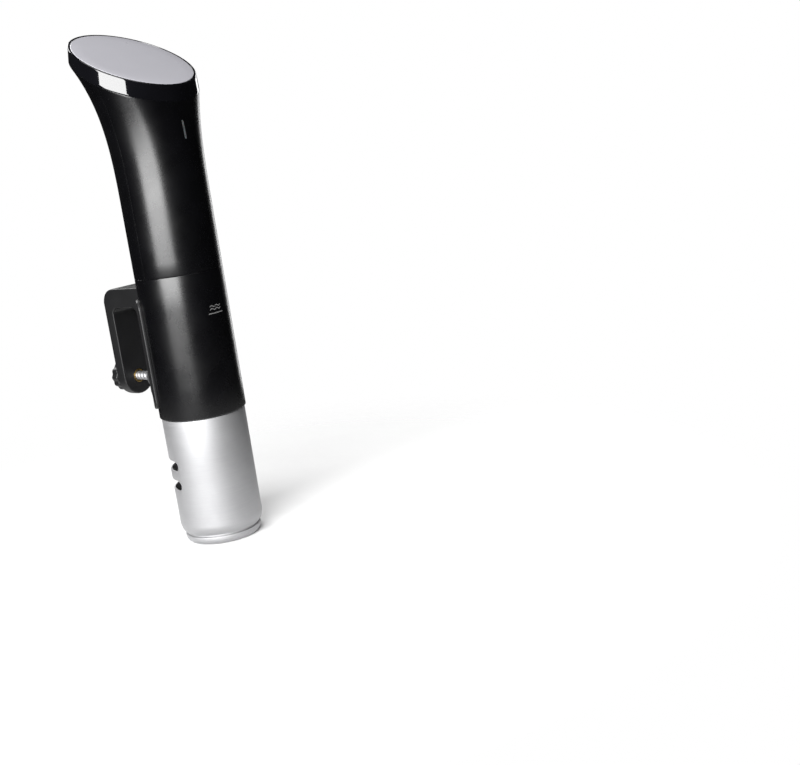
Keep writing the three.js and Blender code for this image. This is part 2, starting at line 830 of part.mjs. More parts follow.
function motorGroup() {
  const group = new THREE.Group();
  const upperBearingZ = CAN_Z + CAN_H - CAN_END_T;
  group.add(piece('motor_mount', motorMount(), DARK_PLASTIC));
  group.add(piece('motor_can', motorCan(), STEEL));
  group.add(piece('motor_bearing_lower', bearing(CAN_Z), STEEL));
  group.add(piece('motor_bearing_upper', bearing(upperBearingZ), STEEL));
  group.add(piece('stator_ring', statorRing(), FERRITE));
  group.add(motorScrew('motor_screw_left', -MOTOR_SCREW_X));
  group.add(motorScrew('motor_screw_right', MOTOR_SCREW_X));
  return group;
}

// --------------------------------------------------------------------- rotor

function driveShaft() {
  const tip = 0.5;
  return turned([
    [0, SHAFT_Z],
    [SHAFT_R - tip, SHAFT_Z],
    [SHAFT_R, SHAFT_Z + tip],
    [SHAFT_R, SHAFT_TOP_Z - tip],
    [SHAFT_R - tip, SHAFT_TOP_Z],
    [0, SHAFT_TOP_Z],
  ], SMALL);
}

/** One thin upright blade that curves back as it goes out. */
function impellerBlade(turn) {
  const thickness = 1.2;
  const sweep = THREE.MathUtils.degToRad(40);
  const steps = 6;
  const outline = new THREE.Shape();
  const edge = (side) => Array.from({ length: steps + 1 }, (_, i) => {
    const t = i / steps;
    const radius = THREE.MathUtils.lerp(HUB_R - 1, IMPELLER_R - 0.5, t);
    const angle = turn + sweep * t * t + side * thickness / 2 / radius;
    return new THREE.Vector2(radius * Math.cos(angle), radius * Math.sin(angle));
  });
  outline.setFromPoints([...edge(-1), ...edge(1).reverse()]);
  const depth = IMPELLER_BLADE_H + IMPELLER_DISC_T / 2;
  const geometry = new THREE.ExtrudeGeometry(outline, { depth, bevelEnabled: false });
  return solid(geometry.translate(0, 0, IMPELLER_Z));
}

function impeller() {
  const discZ = IMPELLER_Z + IMPELLER_BLADE_H;
  const disc = rod(IMPELLER_R, discZ, discZ + IMPELLER_DISC_T, 0, 0, ROUND);
  const hub = rod(HUB_R, IMPELLER_Z, discZ + 4, 0, 0, SMALL);
  const blades = Array.from(
    { length: IMPELLER_BLADES },
    (_, i) => impellerBlade(2 * Math.PI * i / IMPELLER_BLADES),
  );
  return joined([disc, hub, ...blades]).subtract(rod(SHAFT_BORE_R, 0, discZ + 4 + CUT));
}

function fanBlade(turn) {
  const length = FAN_R - HUB_R + 1;
  const geometry = new THREE.BoxGeometry(length, 8, 1);
  geometry.rotateX(FAN_PITCH).translate(HUB_R - 1 + length / 2, 0, FAN_Z + FAN_H / 2);
  return solid(geometry.rotateZ(turn));
}

function coolingFan() {
  const hub = rod(HUB_R, FAN_Z, FAN_Z + FAN_H);
  const blades = Array.from(
    { length: FAN_BLADES },
    (_, i) => fanBlade(2 * Math.PI * i / FAN_BLADES),
  );
  return joined([hub, ...blades]).subtract(rod(SHAFT_BORE_R, 0, FAN_Z + FAN_H + CUT));
}

function rotorGroup() {
  const group = new THREE.Group();
  group.add(piece('drive_shaft', driveShaft(), STEEL));
  group.add(piece('motor_rotor', motorRotor(), FERRITE));
  group.add(piece('cooling_fan', coolingFan(), NATURAL_PLASTIC));
  group.add(piece('impeller', impeller(), DARK_PLASTIC));
  return group;
}

// --------------------------------------------------------------------- water

/** Down the outer leg, round the coil, and up again inside it. */
function heaterRoute() {
  const points = [];
  const coilTop = HEATER_LOW_Z + HEATER_TURNS * HEATER_PITCH;
  const perTurn = 16;
  for (let z = HEATER_TOP_Z; z > coilTop + 4; z -= 5) {
    points.push(new THREE.Vector3(HEATER_COIL_R, 0, z));
  }
  for (let i = 1; i < HEATER_TURNS * perTurn; i += 1) {
    const angle = 2 * Math.PI * i / perTurn;
    const z = coilTop - HEATER_PITCH * i / perTurn;
    points.push(new THREE.Vector3(
      HEATER_COIL_R * Math.cos(angle),
      HEATER_COIL_R * Math.sin(angle),
      z,
    ));
  }
  points.push(new THREE.Vector3(HEATER_COIL_R - 2, 0, HEATER_LOW_Z - 2));
  points.push(new THREE.Vector3(HEATER_LEG_R, 3, HEATER_LOW_Z + 2));
  for (let z = HEATER_LOW_Z + 10; z <= HEATER_TOP_Z; z += 6) {
    points.push(new THREE.Vector3(HEATER_LEG_R, 0, z));
  }
  return new THREE.CatmullRomCurve3(points);
}

function heaterCoil() {
  const section = new THREE.Shape();
  for (let i = 0; i < HEATER_SIDES; i += 1) {
    const angle = 2 * Math.PI * i / HEATER_SIDES;
    const x = HEATER_TUBE_R * Math.cos(angle);
    const y = HEATER_TUBE_R * Math.sin(angle);
    if (i === 0) {
      section.moveTo(x, y);
    } else {
      section.lineTo(x, y);
    }
  }
  section.closePath();
  return solid(new THREE.ExtrudeGeometry(section, {
    steps: HEATER_STEPS,
    extrudePath: heaterRoute(),
    bevelEnabled: false,
  }));
}

function probe({ radius, angle, low }) {
  const [x, y] = polar(PROBE_CIRCLE_R, angle);
  const tip = arc(0, low + radius, radius, -90, 0, 4);
  const profile = [[0, low], ...tip.slice(1), [radius, PROBE_TOP_Z], [0, PROBE_TOP_Z]];
  const geometry = geometryOf(turned(profile, 12));
  return solid(geometry.translate(x, y, 0));
}

/** A slot with round ends that runs straight out through one side of the skirt. */
function outletTool(height) {
  const radius = OUTLET_H / 2;
  const flat = OUTLET_W / 2 - radius;
  const outline = new THREE.Shape();
  outline.absarc(flat, 0, radius, -Math.PI / 2, Math.PI / 2, false);
  outline.absarc(-flat, 0, radius, Math.PI / 2, 1.5 * Math.PI, false);
  const depth = SKIRT_R / 2 + CUT;
  const settings = { depth, curveSegments: 6, bevelEnabled: false };
  const geometry = new THREE.ExtrudeGeometry(outline, settings);
  // the slot's width lies along Y and its depth runs out along X, then it is turned round Z
  geometry.rotateX(Math.PI / 2).rotateZ(Math.PI / 2).translate(SKIRT_R / 2, 0, height);
  return solid(geometry.rotateZ(OUTLET_ANGLE));
}

function skirt() {
  const inner = SKIRT_R - SKIRT_WALL;
  const centre = [SKIRT_R - SKIRT_END_R, SKIRT_Z + SKIRT_END_H];
  const low = -THREE.MathUtils.radToDeg(Math.asin(SKIRT_END_H / SKIRT_END_R));
  const body = turned([
    ...arc(...centre, SKIRT_END_R, low, 0, 4),
    [SKIRT_R, SKIRT_TOP_Z],
    [inner, SKIRT_TOP_Z],
    ...arc(...centre, SKIRT_END_R - SKIRT_WALL, 0, low, 4),
  ], FINE);
  return cut(body, OUTLET_HEIGHTS.map(outletTool));
}

function bottomCap() {
  const body = turned([
    [0, 0],
    ...arc(CAP_R - CAP_EDGE_R, CAP_EDGE_R, CAP_EDGE_R, -90, 0, 6),
    [CAP_R, CAP_H],
    [CAP_SPIGOT_R, CAP_H],
    [CAP_SPIGOT_R, CAP_SPIGOT_TOP_Z],
    [CAP_SPIGOT_R - CAP_WALL, CAP_SPIGOT_TOP_Z],
    [CAP_SPIGOT_R - CAP_WALL, CAP_FLOOR_T],
    [0, CAP_FLOOR_T],
  ]);
  const slots = Array.from({ length: INLET_COUNT }, (_, i) => {
    const geometry = new THREE.BoxGeometry(INLET_R1 - INLET_R0, INLET_W, 2 * CUT);
    geometry.translate((INLET_R0 + INLET_R1) / 2, 0, 0);
    return solid(geometry.rotateZ(2 * Math.PI * (i + 0.5) / INLET_COUNT));
  });
  return cut(body, slots);
}

function waterGroup() {
  const group = new THREE.Group();
  group.add(piece('heater_coil', heaterCoil(), STEEL));
  group.add(piece('temperature_probe', probe(TEMPERATURE_PROBE), STEEL));
  group.add(piece('level_probe', probe(LEVEL_PROBE), STEEL));
  group.add(piece('skirt', skirt(), STEEL));
  group.add(piece('bottom_cap', bottomCap(), STEEL));
  return group;
}

// --------------------------------------------------------------------- clamp

/** Side outline of the inverted U, as [y, z] points. */
function clampOutline() {
  const under = CLAMP_TOP_Z - CLAMP_ARM_T;
  const legLow = SCREW_Z - CLAMP_W / 2;
  const corner = CLAMP_CORNER_R;
  const throat = CLAMP_THROAT_R;
  return [
    [TUBE_R / 2, SADDLE_Z],
    [SADDLE_Y, SADDLE_Z],
    ...arc(SADDLE_Y + throat, under - throat, throat, 180, 90, 4),
    ...arc(CLAMP_LEG_Y0 - throat, under - throat, throat, 90, 0, 4),
    [CLAMP_LEG_Y0, legLow],
    [CLAMP_LEG_Y1, legLow],
    ...arc(CLAMP_LEG_Y1 - corner, CLAMP_TOP_Z - corner, corner, 0, 90, 8),
    [TUBE_R / 2, CLAMP_TOP_Z],
  ];
}

/** What has to go from a plate in the XZ plane to round its two lower corners. */
function lowerCornerWaste(near, far, low, radius) {
  const half = CLAMP_W / 2;
  return [-1, 1].map((side) => {
    const x = side * (half - radius);
    const outer = side * (half + CUT);
    const square = block(
      [Math.min(x, outer), near, low - CUT],
      [Math.max(x, outer), far, low + radius],
    );
    return square.subtract(rodAlongY(radius, near - CUT, far + CUT, x, low + radius, FINE));
  });
}

/** The saddle's wings: a thin shell round the back of the sleeve. */
function saddleWings() {
  const outer = TUBE_R + FIT + WING_T;
  const reach = 2 * outer;
  const wedge = new THREE.Shape();
  wedge.moveTo(0, 0);
  wedge.lineTo(reach * Math.sin(WING_SPREAD), reach * Math.cos(WING_SPREAD));
  wedge.lineTo(0, reach);
  wedge.lineTo(-reach * Math.sin(WING_SPREAD), reach * Math.cos(WING_SPREAD));
  wedge.closePath();
  const depth = 2 * CLAMP_TOP_Z;
  const sector = solid(new THREE.ExtrudeGeometry(wedge, { depth, bevelEnabled: false }));
  return rod(outer, SADDLE_Z, WING_TOP_Z, 0, 0, FINE).intersect(sector);
}

function clampBracket() {
  const outline = new THREE.Shape(clampOutline().map(([y, z]) => new THREE.Vector2(y, z)));
  const geometry = new THREE.ExtrudeGeometry(outline, {
    depth: CLAMP_W - 2 * CLAMP_EDGE,
    bevelThickness: CLAMP_EDGE,
    bevelSize: CLAMP_EDGE,
    bevelOffset: -CLAMP_EDGE,
    bevelSegments: 2,
  });
  // the outline's (y, z) plane is turned upright, and the extrusion runs along X
  geometry.translate(0, 0, CLAMP_EDGE - CLAMP_W / 2);
  geometry.rotateY(Math.PI / 2).rotateX(Math.PI / 2);
  const middle = (CLAMP_LEG_Y0 + SADDLE_Y) / 2;
  const legWaste = lowerCornerWaste(middle, CLAMP_LEG_Y1 + CUT, SCREW_Z - CLAMP_W / 2, CLAMP_W / 2);
  const saddleWaste = lowerCornerWaste(0, middle, SADDLE_Z, SADDLE_CORNER_R);
  const heights = Object.values(BRACKET_SCREW_HEIGHTS);
  const seat = SADDLE_Y - FASTENER_HEAD_T - 0.4;
  const holes = heights.map((z) => rodAlongY(FASTENER_R + FIT, 0, SADDLE_Y + CUT, 0, z));
  const sinks = heights.map((z) => rodAlongY(FASTENER_HEAD_R + FIT, seat - FIT, SADDLE_Y + 1, 0, z));
  const nutHole = rodAlongY(NUT_R + FIT, CLAMP_LEG_Y0 - CUT, CLAMP_LEG_Y1 + CUT, 0, SCREW_Z);
  const gripPocket = block(
    [-GRIP_W / 2 - FIT, SADDLE_Y + GRIP_PROUD - GRIP_T - FIT, SCREW_Z - GRIP_H / 2 - FIT],
    [GRIP_W / 2 + FIT, SADDLE_Y + CUT, SCREW_Z + GRIP_H / 2 + FIT],
  );
  const tube = rod(TUBE_R + FIT, 0, 2 * CLAMP_TOP_Z, 0, 0, FINE);
  const arch = cut(solid(geometry), [...legWaste, ...saddleWaste]);
  return cut(arch.add(saddleWings()), [tube, ...holes, ...sinks, nutHole, gripPocket]);
}

function bracketScrew(name, height) {
  const seat = SADDLE_Y - FASTENER_HEAD_T - 0.4;
  const mesh = piece(name, fastener(seat - BRACKET_SCREW_TIP_Y), STEEL);
  mesh.position.set(0, seat, height);
  mesh.rotation.x = -Math.PI / 2;
  return mesh;
}

function gripPad() {
  const far = SADDLE_Y + GRIP_PROUD;
  const near = far - GRIP_T;
  const body = block(
    [-GRIP_W / 2, near, SCREW_Z - GRIP_H / 2],
    [GRIP_W / 2, far, SCREW_Z + GRIP_H / 2],
  );
  const ribGrooves = Array.from({ length: GRIP_RIBS - 1 }, (_, i) => {
    const z = SCREW_Z + (i - (GRIP_RIBS - 2) / 2) * GRIP_H / GRIP_RIBS;
    return block([-GRIP_W, far - 0.5, z - 0.4], [GRIP_W, far + CUT, z + 0.4]);
  });
  return cut(body, ribGrooves);
}

/** Along Y through the thumb screw's axis: turned about Z, then laid down. */
function onScrewAxis(name, body, look) {
  const mesh = piece(name, body, look);
  mesh.position.z = SCREW_Z;
  mesh.rotation.x = -Math.PI / 2;
  return mesh;
}

function clampNut() {
  return ring(SCREW_BORE_R, NUT_R, CLAMP_LEG_Y0 + 0.2, CLAMP_LEG_Y1 - 0.2, MEDIUM);
}

function clampScrew() {
  const tip = PAD_Y + PAD_T - PAD_SOCKET_DEPTH + FIT;
  const end = KNOB_Y + KNOB_SOCKET_DEPTH - FIT;
  const point = 1;
  return turned([
    [0, tip],
    [SCREW_R - point, tip],
    [SCREW_R, tip + point],
    [SCREW_R, end],
    [0, end],
  ], SMALL);
}

function clampPad() {
  const back = PAD_Y + PAD_T;
  return turned([
    [0, PAD_Y],
    [PAD_R - 0.6, PAD_Y],
    [PAD_R, PAD_Y + 0.6],
    [PAD_R, PAD_Y + PAD_T * 0.5],
    [SCREW_BORE_R + 1.6, back],
    [SCREW_BORE_R, back],
    [SCREW_BORE_R, back - PAD_SOCKET_DEPTH],
    [0, back - PAD_SOCKET_DEPTH],
  ], MEDIUM);
}

function clampKnob() {
  const outline = new THREE.Shape();
  const points = [];
  const count = KNOB_FLUTES * 4;
  const rim = 1;
  for (let i = 0; i < count; i += 1) {
    const angle = 2 * Math.PI * i / count;
    const radius = KNOB_R - KNOB_FLUTE_DEPTH * (1 - Math.cos(KNOB_FLUTES * angle)) / 2;
    points.push(new THREE.Vector2(radius * Math.cos(angle), radius * Math.sin(angle)));
  }
  outline.setFromPoints(points);
  const geometry = new THREE.ExtrudeGeometry(outline, {
    depth: KNOB_T - 2 * rim,
    bevelThickness: rim,
    bevelSize: rim,
    bevelOffset: -rim,
    bevelSegments: 2,
  });
  geometry.translate(0, 0, KNOB_Y + rim);
  const socket = rod(SCREW_BORE_R, KNOB_Y - CUT, KNOB_Y + KNOB_SOCKET_DEPTH);
  return solid(geometry).subtract(socket);
}

function clampGroup() {
  const group = new THREE.Group();
  group.add(piece('clamp_bracket', clampBracket(), MATT_BLACK));
  group.add(piece('grip_pad', gripPad(), RUBBER));
  for (const [place, height] of Object.entries(BRACKET_SCREW_HEIGHTS)) {
    group.add(bracketScrew(`bracket_screw_${place}`, height));
  }
  group.add(onScrewAxis('clamp_nut', clampNut(), BRASS));
  group.add(onScrewAxis('clamp_screw', clampScrew(), STEEL));
  group.add(onScrewAxis('clamp_pad', clampPad(), RUBBER));
  group.add(onScrewAxis('clamp_knob', clampKnob(), MATT_BLACK));
  return group;
}

// ------------------------------------------------------------------ assembly

const circulator = new THREE.Group();
circulator.add(
  headGroup(),
  upperBodyGroup(),
  electronicsGroup(),
  sleeveGroup(),
  motorGroup(),
  rotorGroup(),
  waterGroup(),
  clampGroup(),
);

export default circulator;
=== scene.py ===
"""Looks of a sous vide circulator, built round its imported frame.

Lengths in this script are in millimetres until a mesh is made; the scene is in metres.
The tube stands on Z, the display's low edge faces -Y and the clamp is at +Y.
"""

import json
from math import asin, cos, pi, radians, sin, sqrt, tan

import bmesh
import bpy
from mathutils import Matrix, Vector

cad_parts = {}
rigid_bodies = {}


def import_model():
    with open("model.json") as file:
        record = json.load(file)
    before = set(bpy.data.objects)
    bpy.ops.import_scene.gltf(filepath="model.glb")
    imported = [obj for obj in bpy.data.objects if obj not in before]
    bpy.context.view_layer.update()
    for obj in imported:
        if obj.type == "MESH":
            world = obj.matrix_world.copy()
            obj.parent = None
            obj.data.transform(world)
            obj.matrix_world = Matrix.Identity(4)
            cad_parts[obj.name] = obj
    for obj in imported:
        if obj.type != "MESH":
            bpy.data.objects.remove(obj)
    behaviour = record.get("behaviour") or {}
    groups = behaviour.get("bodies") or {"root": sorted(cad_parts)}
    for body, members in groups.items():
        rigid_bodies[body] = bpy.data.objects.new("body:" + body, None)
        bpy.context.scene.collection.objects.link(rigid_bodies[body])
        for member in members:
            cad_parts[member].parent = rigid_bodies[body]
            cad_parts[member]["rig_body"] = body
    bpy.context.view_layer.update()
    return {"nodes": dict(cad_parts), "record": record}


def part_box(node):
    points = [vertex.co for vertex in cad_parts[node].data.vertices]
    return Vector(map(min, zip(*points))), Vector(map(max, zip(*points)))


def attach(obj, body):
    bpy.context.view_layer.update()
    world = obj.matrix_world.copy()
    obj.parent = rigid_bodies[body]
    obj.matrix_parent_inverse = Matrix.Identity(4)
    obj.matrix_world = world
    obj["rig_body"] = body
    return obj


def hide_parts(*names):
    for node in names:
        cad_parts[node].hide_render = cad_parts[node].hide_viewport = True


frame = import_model()

MM = 0.001


# ------------------------------------------------------------------ dimensions

def span(node):
    """The lowest and highest corner of a CAD node, in millimetres."""
    low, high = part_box(node)
    return low / MM, high / MM


def upright_span(node):
    """The foot's height, the top's height and the radius of a node that is turned about Z."""
    low, high = span(node)
    return low.z, high.z, high.x


FIT = 0.3                                  # gap that the CAD keeps between touching pieces
SLEEVE_LOW, SLEEVE_HIGH = span("lower_sleeve")
SKIRT_LOW, SKIRT_HIGH = span("skirt")
CAP_HIGH = span("bottom_cap")[1]
BRACKET_LOW, BRACKET_HIGH = span("clamp_bracket")
PAD_LOW, PAD_HIGH = span("clamp_pad")
KNOB_LOW, KNOB_HIGH = span("clamp_knob")
NUT_LOW, NUT_HIGH = span("clamp_nut")
SCREW_LOW, SCREW_HIGH = span("clamp_screw")
GRIP_LOW, GRIP_HIGH = span("grip_pad")

TUBE_R = SLEEVE_HIGH.x
WALL = 2.6
BORE_R = TUBE_R - WALL
SEAM_Z = span("front_shell")[0].z - FIT
FLARE_Z = 221
FLARE_POWER = 3

HEAD_R = 39.6
HEAD_Y = 7.6
HEAD_Z = 311.2
HEAD_TILT = radians(30.3)
BAND_R = 40.4
BAND_DROP = 8.64
BAND_LEAN = 4.24
LENS_R = span("display_lens")[1].x
LENS_T = 1.8
LENS_DRAFT = 0.9
SHELF_R = 35.2
SHELF_Z = -2.7                             # heights in the head count from its tilted face
SHELF_T = 1.8
BEZEL_WALL = 3
BOARD_TOP = -6
BOARD_T = 1.6
HEAD = Matrix.Translation((0, HEAD_Y, HEAD_Z)) @ Matrix.Rotation(HEAD_TILT, 4, "X")

CAP_R = CAP_HIGH.x
CAP_H = 5.8
CAP_EDGE_R = 4
CAP_SPIGOT_R = 24.1
INLET_R0 = 9                               # the cap's slots run out from this radius
INLET_R1 = 20                              # to this one
SKIRT_R = SKIRT_HIGH.x
SKIRT_WALL = 1
SKIRT_END_H = 6.5                          # the skirt is drawn in over this height
SKIRT_END_R = 12                           # along an arc of this radius
OUTLET_W = 31
OUTLET_H = 6.4
OUTLET_HEIGHTS = (41, 54.2)
OUTLET_ANGLE = radians(138.6)

SCREW_Z = (KNOB_LOW.z + KNOB_HIGH.z) / 2
SADDLE_Y = 33.8
LEG_Y = 57.5
ARM_T = 13


# ------------------------------------------------------------------ the camera

CAMERA_AT = (-0.5169, -0.5863, 0.2480)     # metres
CAMERA_TURN = (-51.01, 11.93, -8.01)       # azimuth, elevation and roll, degrees
MIDDLE_Z = 0.2                             # the height that the lights face, metres


def direction(azimuth, elevation):
    """Out from the middle; azimuth 0 is straight in front, at -Y."""
    return Vector((
        sin(azimuth) * cos(elevation),
        -cos(azimuth) * cos(elevation),
        sin(elevation),
    ))


def make_camera():
    """Stands at the front left, a little above the middle, and leans to its left."""
    azimuth, elevation, roll = (radians(degrees) for degrees in CAMERA_TURN)
    back = direction(azimuth, elevation)
    level_right = (-back).cross(Vector((0, 0, 1))).normalized()
    level_up = level_right.cross(-back)
    right = cos(roll) * level_right + sin(roll) * level_up
    up = cos(roll) * level_up - sin(roll) * level_right
    data = bpy.data.cameras.new("camera")
    data.lens = 54
    data.sensor_width = 36
    camera = bpy.data.objects.new("camera", data)
    bpy.context.scene.collection.objects.link(camera)
    turn = Matrix((right, up, back)).transposed().to_4x4()
    camera.matrix_world = Matrix.Translation(CAMERA_AT) @ turn
    bpy.context.scene.camera = camera


make_camera()


# ------------------------------------------------------------------- materials

class Look:
    """A material with a Principled shader, and short calls for the nodes round it."""

    def __init__(self, name, **sockets):
        self.material = bpy.data.materials.new(name)
        self.material.use_nodes = True
        self.tree = self.material.node_tree
        self.shader = self.tree.nodes["Principled BSDF"]
        for socket, value in sockets.items():
            self.shader.inputs[socket.replace("_", " ")].default_value = value
        self.place = self.node("ShaderNodeTexCoord").outputs["Object"]
        self.bumps = None

    def node(self, kind, **settings):
        made = self.tree.nodes.new(kind)
        for setting, value in settings.items():
            setattr(made, setting, value)
        return made

    def link(self, start, end):
        self.tree.links.new(start, end)

    def stretched(self, scale):
        """Object coordinates, scaled on each axis."""
        mapping = self.node("ShaderNodeMapping")
        mapping.inputs["Scale"].default_value = scale
        self.link(self.place, mapping.inputs["Vector"])
        return mapping.outputs["Vector"]

    def noise(self, scale, detail, roughness=0.5, stretch=(1, 1, 1)):
        made = self.node("ShaderNodeTexNoise")
        made.inputs["Scale"].default_value = scale
        made.inputs["Detail"].default_value = detail
        made.inputs["Roughness"].default_value = roughness
        self.link(self.stretched(stretch), made.inputs["Vector"])
        return made.outputs["Fac"]

    def ramp(self, value, low, high, start=0.3, end=0.7):
        """Maps a pattern's value onto a range of numbers."""
        made = self.node("ShaderNodeMapRange")
        for socket, number in zip(("From Min", "From Max", "To Min", "To Max"),
                                  (start, end, low, high)):
            made.inputs[socket].default_value = number
        self.link(value, made.inputs["Value"])
        return made.outputs["Result"]

    def blend(self, value, first, second, start=0.3, end=0.7):
        """Maps a pattern's value onto a run between two colours."""
        made = self.node("ShaderNodeValToRGB")
        made.color_ramp.elements[0].position = start
        made.color_ramp.elements[0].color = (*first, 1)
        made.color_ramp.elements[1].position = end
        made.color_ramp.elements[1].color = (*second, 1)
        self.link(value, made.inputs["Fac"])
        return made.outputs["Color"]

    def color(self, value):
        self.link(value, self.shader.inputs["Base Color"])

    def rough(self, value):
        self.link(value, self.shader.inputs["Roughness"])

    def bump(self, value, depth, strength):
        """Adds a relief of this depth in millimetres on top of those before it."""
        made = self.node("ShaderNodeBump")
        made.inputs["Strength"].default_value = strength
        made.inputs["Distance"].default_value = depth * MM
        self.link(value, made.inputs["Height"])
        if self.bumps:
            self.link(self.bumps, made.inputs["Normal"])
        self.bumps = made.outputs["Normal"]
        self.link(self.bumps, self.shader.inputs["Normal"])


def grey(level, tint=0.0):
    """A grey with a slight lean towards blue."""
    return (level, level, level * (1 + tint))


def moulded(name, dark, light, roughness, grain, depth):
    """Moulded plastic: a fine spark-eroded grain, cloudy gloss and slight flow marks."""
    look = Look(name, Specular_IOR_Level=0.5)
    look.color(look.blend(look.noise(60, 3), dark, light))
    cloudy = look.noise(45, 4, 0.6)
    look.rough(look.ramp(cloudy, roughness - 0.03, roughness + 0.04))
    look.bump(look.noise(12, 2), 0.25, 0.15)
    look.bump(look.noise(grain, 3, 0.65), depth, 0.6)
    return look.material


def satin_black():
    return moulded("satin_black", grey(0.0010, 0.3), grey(0.0017, 0.3), 0.27, 3400, 0.007)


def matt_black():
    return moulded("matt_black", grey(0.0030, 0.1), grey(0.0045, 0.1), 0.46, 2400, 0.020)


def dark_plastic():
    return moulded("dark_plastic", grey(0.022, 0.12), grey(0.030, 0.12), 0.48, 2600, 0.015)


def natural_plastic():
    return moulded("natural_plastic", (0.60, 0.58, 0.51), (0.68, 0.66, 0.59), 0.42, 2600, 0.012)


def relay_blue():
    return moulded("relay_blue", (0.016, 0.065, 0.22), (0.022, 0.085, 0.27), 0.35, 2600, 0.010)


def gloss_black():
    """Polished mouldings: a very slight orange peel and a slightly uneven gloss."""
    look = Look("gloss_black", Specular_IOR_Level=0.5, Coat_Weight=0.3, Coat_Roughness=0.02)
    look.color(look.blend(look.noise(40, 2), grey(0.0022, 0.3), grey(0.0032, 0.3)))
    look.rough(look.ramp(look.noise(70, 4, 0.6), 0.045, 0.085))
    look.bump(look.noise(260, 1), 0.004, 0.25)
    return look.material


def satin_grey():
    """The display's window: a satin coat over an even light grey print."""
    look = Look("satin_grey", Specular_IOR_Level=0.5, Coat_Weight=0.25, Coat_Roughness=0.22)
    look.color(look.blend(look.noise(18, 3), (0.370, 0.367, 0.397), (0.393, 0.389, 0.421)))
    look.rough(look.ramp(look.noise(55, 4, 0.6), 0.27, 0.34))
    look.bump(look.noise(5200, 2, 0.6), 0.003, 0.5)
    return look.material


def clear_white():
    """A frosted light guide."""
    look = Look("clear_white", Specular_IOR_Level=0.5, Subsurface_Weight=0.2,
                Transmission_Weight=0.35)
    look.shader.inputs["Subsurface Scale"].default_value = 0.8 * MM
    look.color(look.blend(look.noise(300, 2), (0.10, 0.105, 0.11), (0.13, 0.135, 0.14)))
    look.rough(look.ramp(look.noise(900, 3), 0.22, 0.34))
    look.bump(look.noise(4000, 2), 0.004, 0.5)
    return look.material


def rubber():
    """Matt moulded rubber with a dry bloom."""
    look = Look("rubber", Specular_IOR_Level=0.4, Sheen_Weight=0.15, Sheen_Roughness=0.6)
    look.color(look.blend(look.noise(140, 4, 0.6), grey(0.008, 0.05), grey(0.014, 0.05)))
    look.rough(look.ramp(look.noise(220, 4), 0.68, 0.82))
    look.bump(look.noise(1900, 4, 0.6), 0.030, 0.6)
    return look.material


def stainless():
    """Satin stainless steel, brushed round the tube, with faint cloudy stains."""
    look = Look("stainless", Metallic=1.0, Anisotropic=0.3)
    look.color(look.blend(look.noise(24, 4, 0.6), grey(0.355, 0.02), grey(0.40, 0.02)))
    lines = look.noise(60, 4, 0.7, stretch=(1, 1, 90))
    look.rough(look.ramp(lines, 0.54, 0.66))
    look.bump(lines, 0.005, 0.25)
    look.bump(look.noise(700, 3), 0.003, 0.3)
    return look.material


def turned_metal(name, first, second, roughness):
    """Turned or drawn metal: fine tool marks and slight tarnish."""
    look = Look(name, Metallic=1.0)
    look.color(look.blend(look.noise(160, 4, 0.6), first, second))
    look.rough(look.ramp(look.noise(500, 4), roughness - 0.05, roughness + 0.08))
    look.bump(look.noise(3000, 3), 0.005, 0.5)
    return look.material


def brass():
    return turned_metal("brass", (0.44, 0.29, 0.10), (0.56, 0.39, 0.15), 0.28)


def aluminium():
    return turned_metal("aluminium", (0.50, 0.51, 0.52), (0.60, 0.61, 0.62), 0.36)


def ferrite():
    """Sintered ferrite and lamination stacks: dull, pitted, slightly metallic."""
    look = Look("ferrite", Metallic=0.35)
    look.color(look.blend(look.noise(350, 5, 0.7), grey(0.030, 0.08), grey(0.065, 0.08)))
    look.rough(look.ramp(look.noise(260, 4), 0.45, 0.62))
    look.bump(look.noise(60, 2, 0.5, stretch=(1, 1, 40)), 0.03, 0.4)
    look.bump(look.noise(1500, 4, 0.7), 0.02, 0.6)
    return look.material


def board_green():
    """A circuit board: solder mask over fields of copper with bare gaps between them."""
    look = Look("board_green", Specular_IOR_Level=0.5, Coat_Weight=0.3, Coat_Roughness=0.12)
    cells = look.node("ShaderNodeTexVoronoi", feature="DISTANCE_TO_EDGE")
    cells.inputs["Scale"].default_value = 170
    look.link(look.stretched((1, 1, 1)), cells.inputs["Vector"])
    traces = look.ramp(cells.outputs["Distance"], 0, 1, 0.06, 0.09)
    look.color(look.blend(traces, (0.030, 0.150, 0.055), (0.010, 0.075, 0.030), 0.2, 0.8))
    look.rough(look.ramp(look.noise(200, 3), 0.26, 0.36))
    look.bump(traces, 0.04, 0.5)
    return look.material


def white_ink():
    """Pale grey pad print, a little worn."""
    look = Look("white_ink", Specular_IOR_Level=0.4)
    look.color(look.blend(look.noise(900, 3), grey(0.10), grey(0.17)))
    look.rough(look.ramp(look.noise(600, 3), 0.5, 0.65))
    look.bump(look.noise(3000, 2), 0.005, 0.5)
    return look.material


LOOKS = {make.__name__: make() for make in (
    satin_black, gloss_black, matt_black, rubber, satin_grey, clear_white, stainless, brass,
    aluminium, board_green, natural_plastic, dark_plastic, relay_blue, ferrite, white_ink,
)}
SLOTS = {row["node"]: row["material_slot"] for row in frame["record"]["subparts"]}


# ---------------------------------------------------------------- mesh helpers

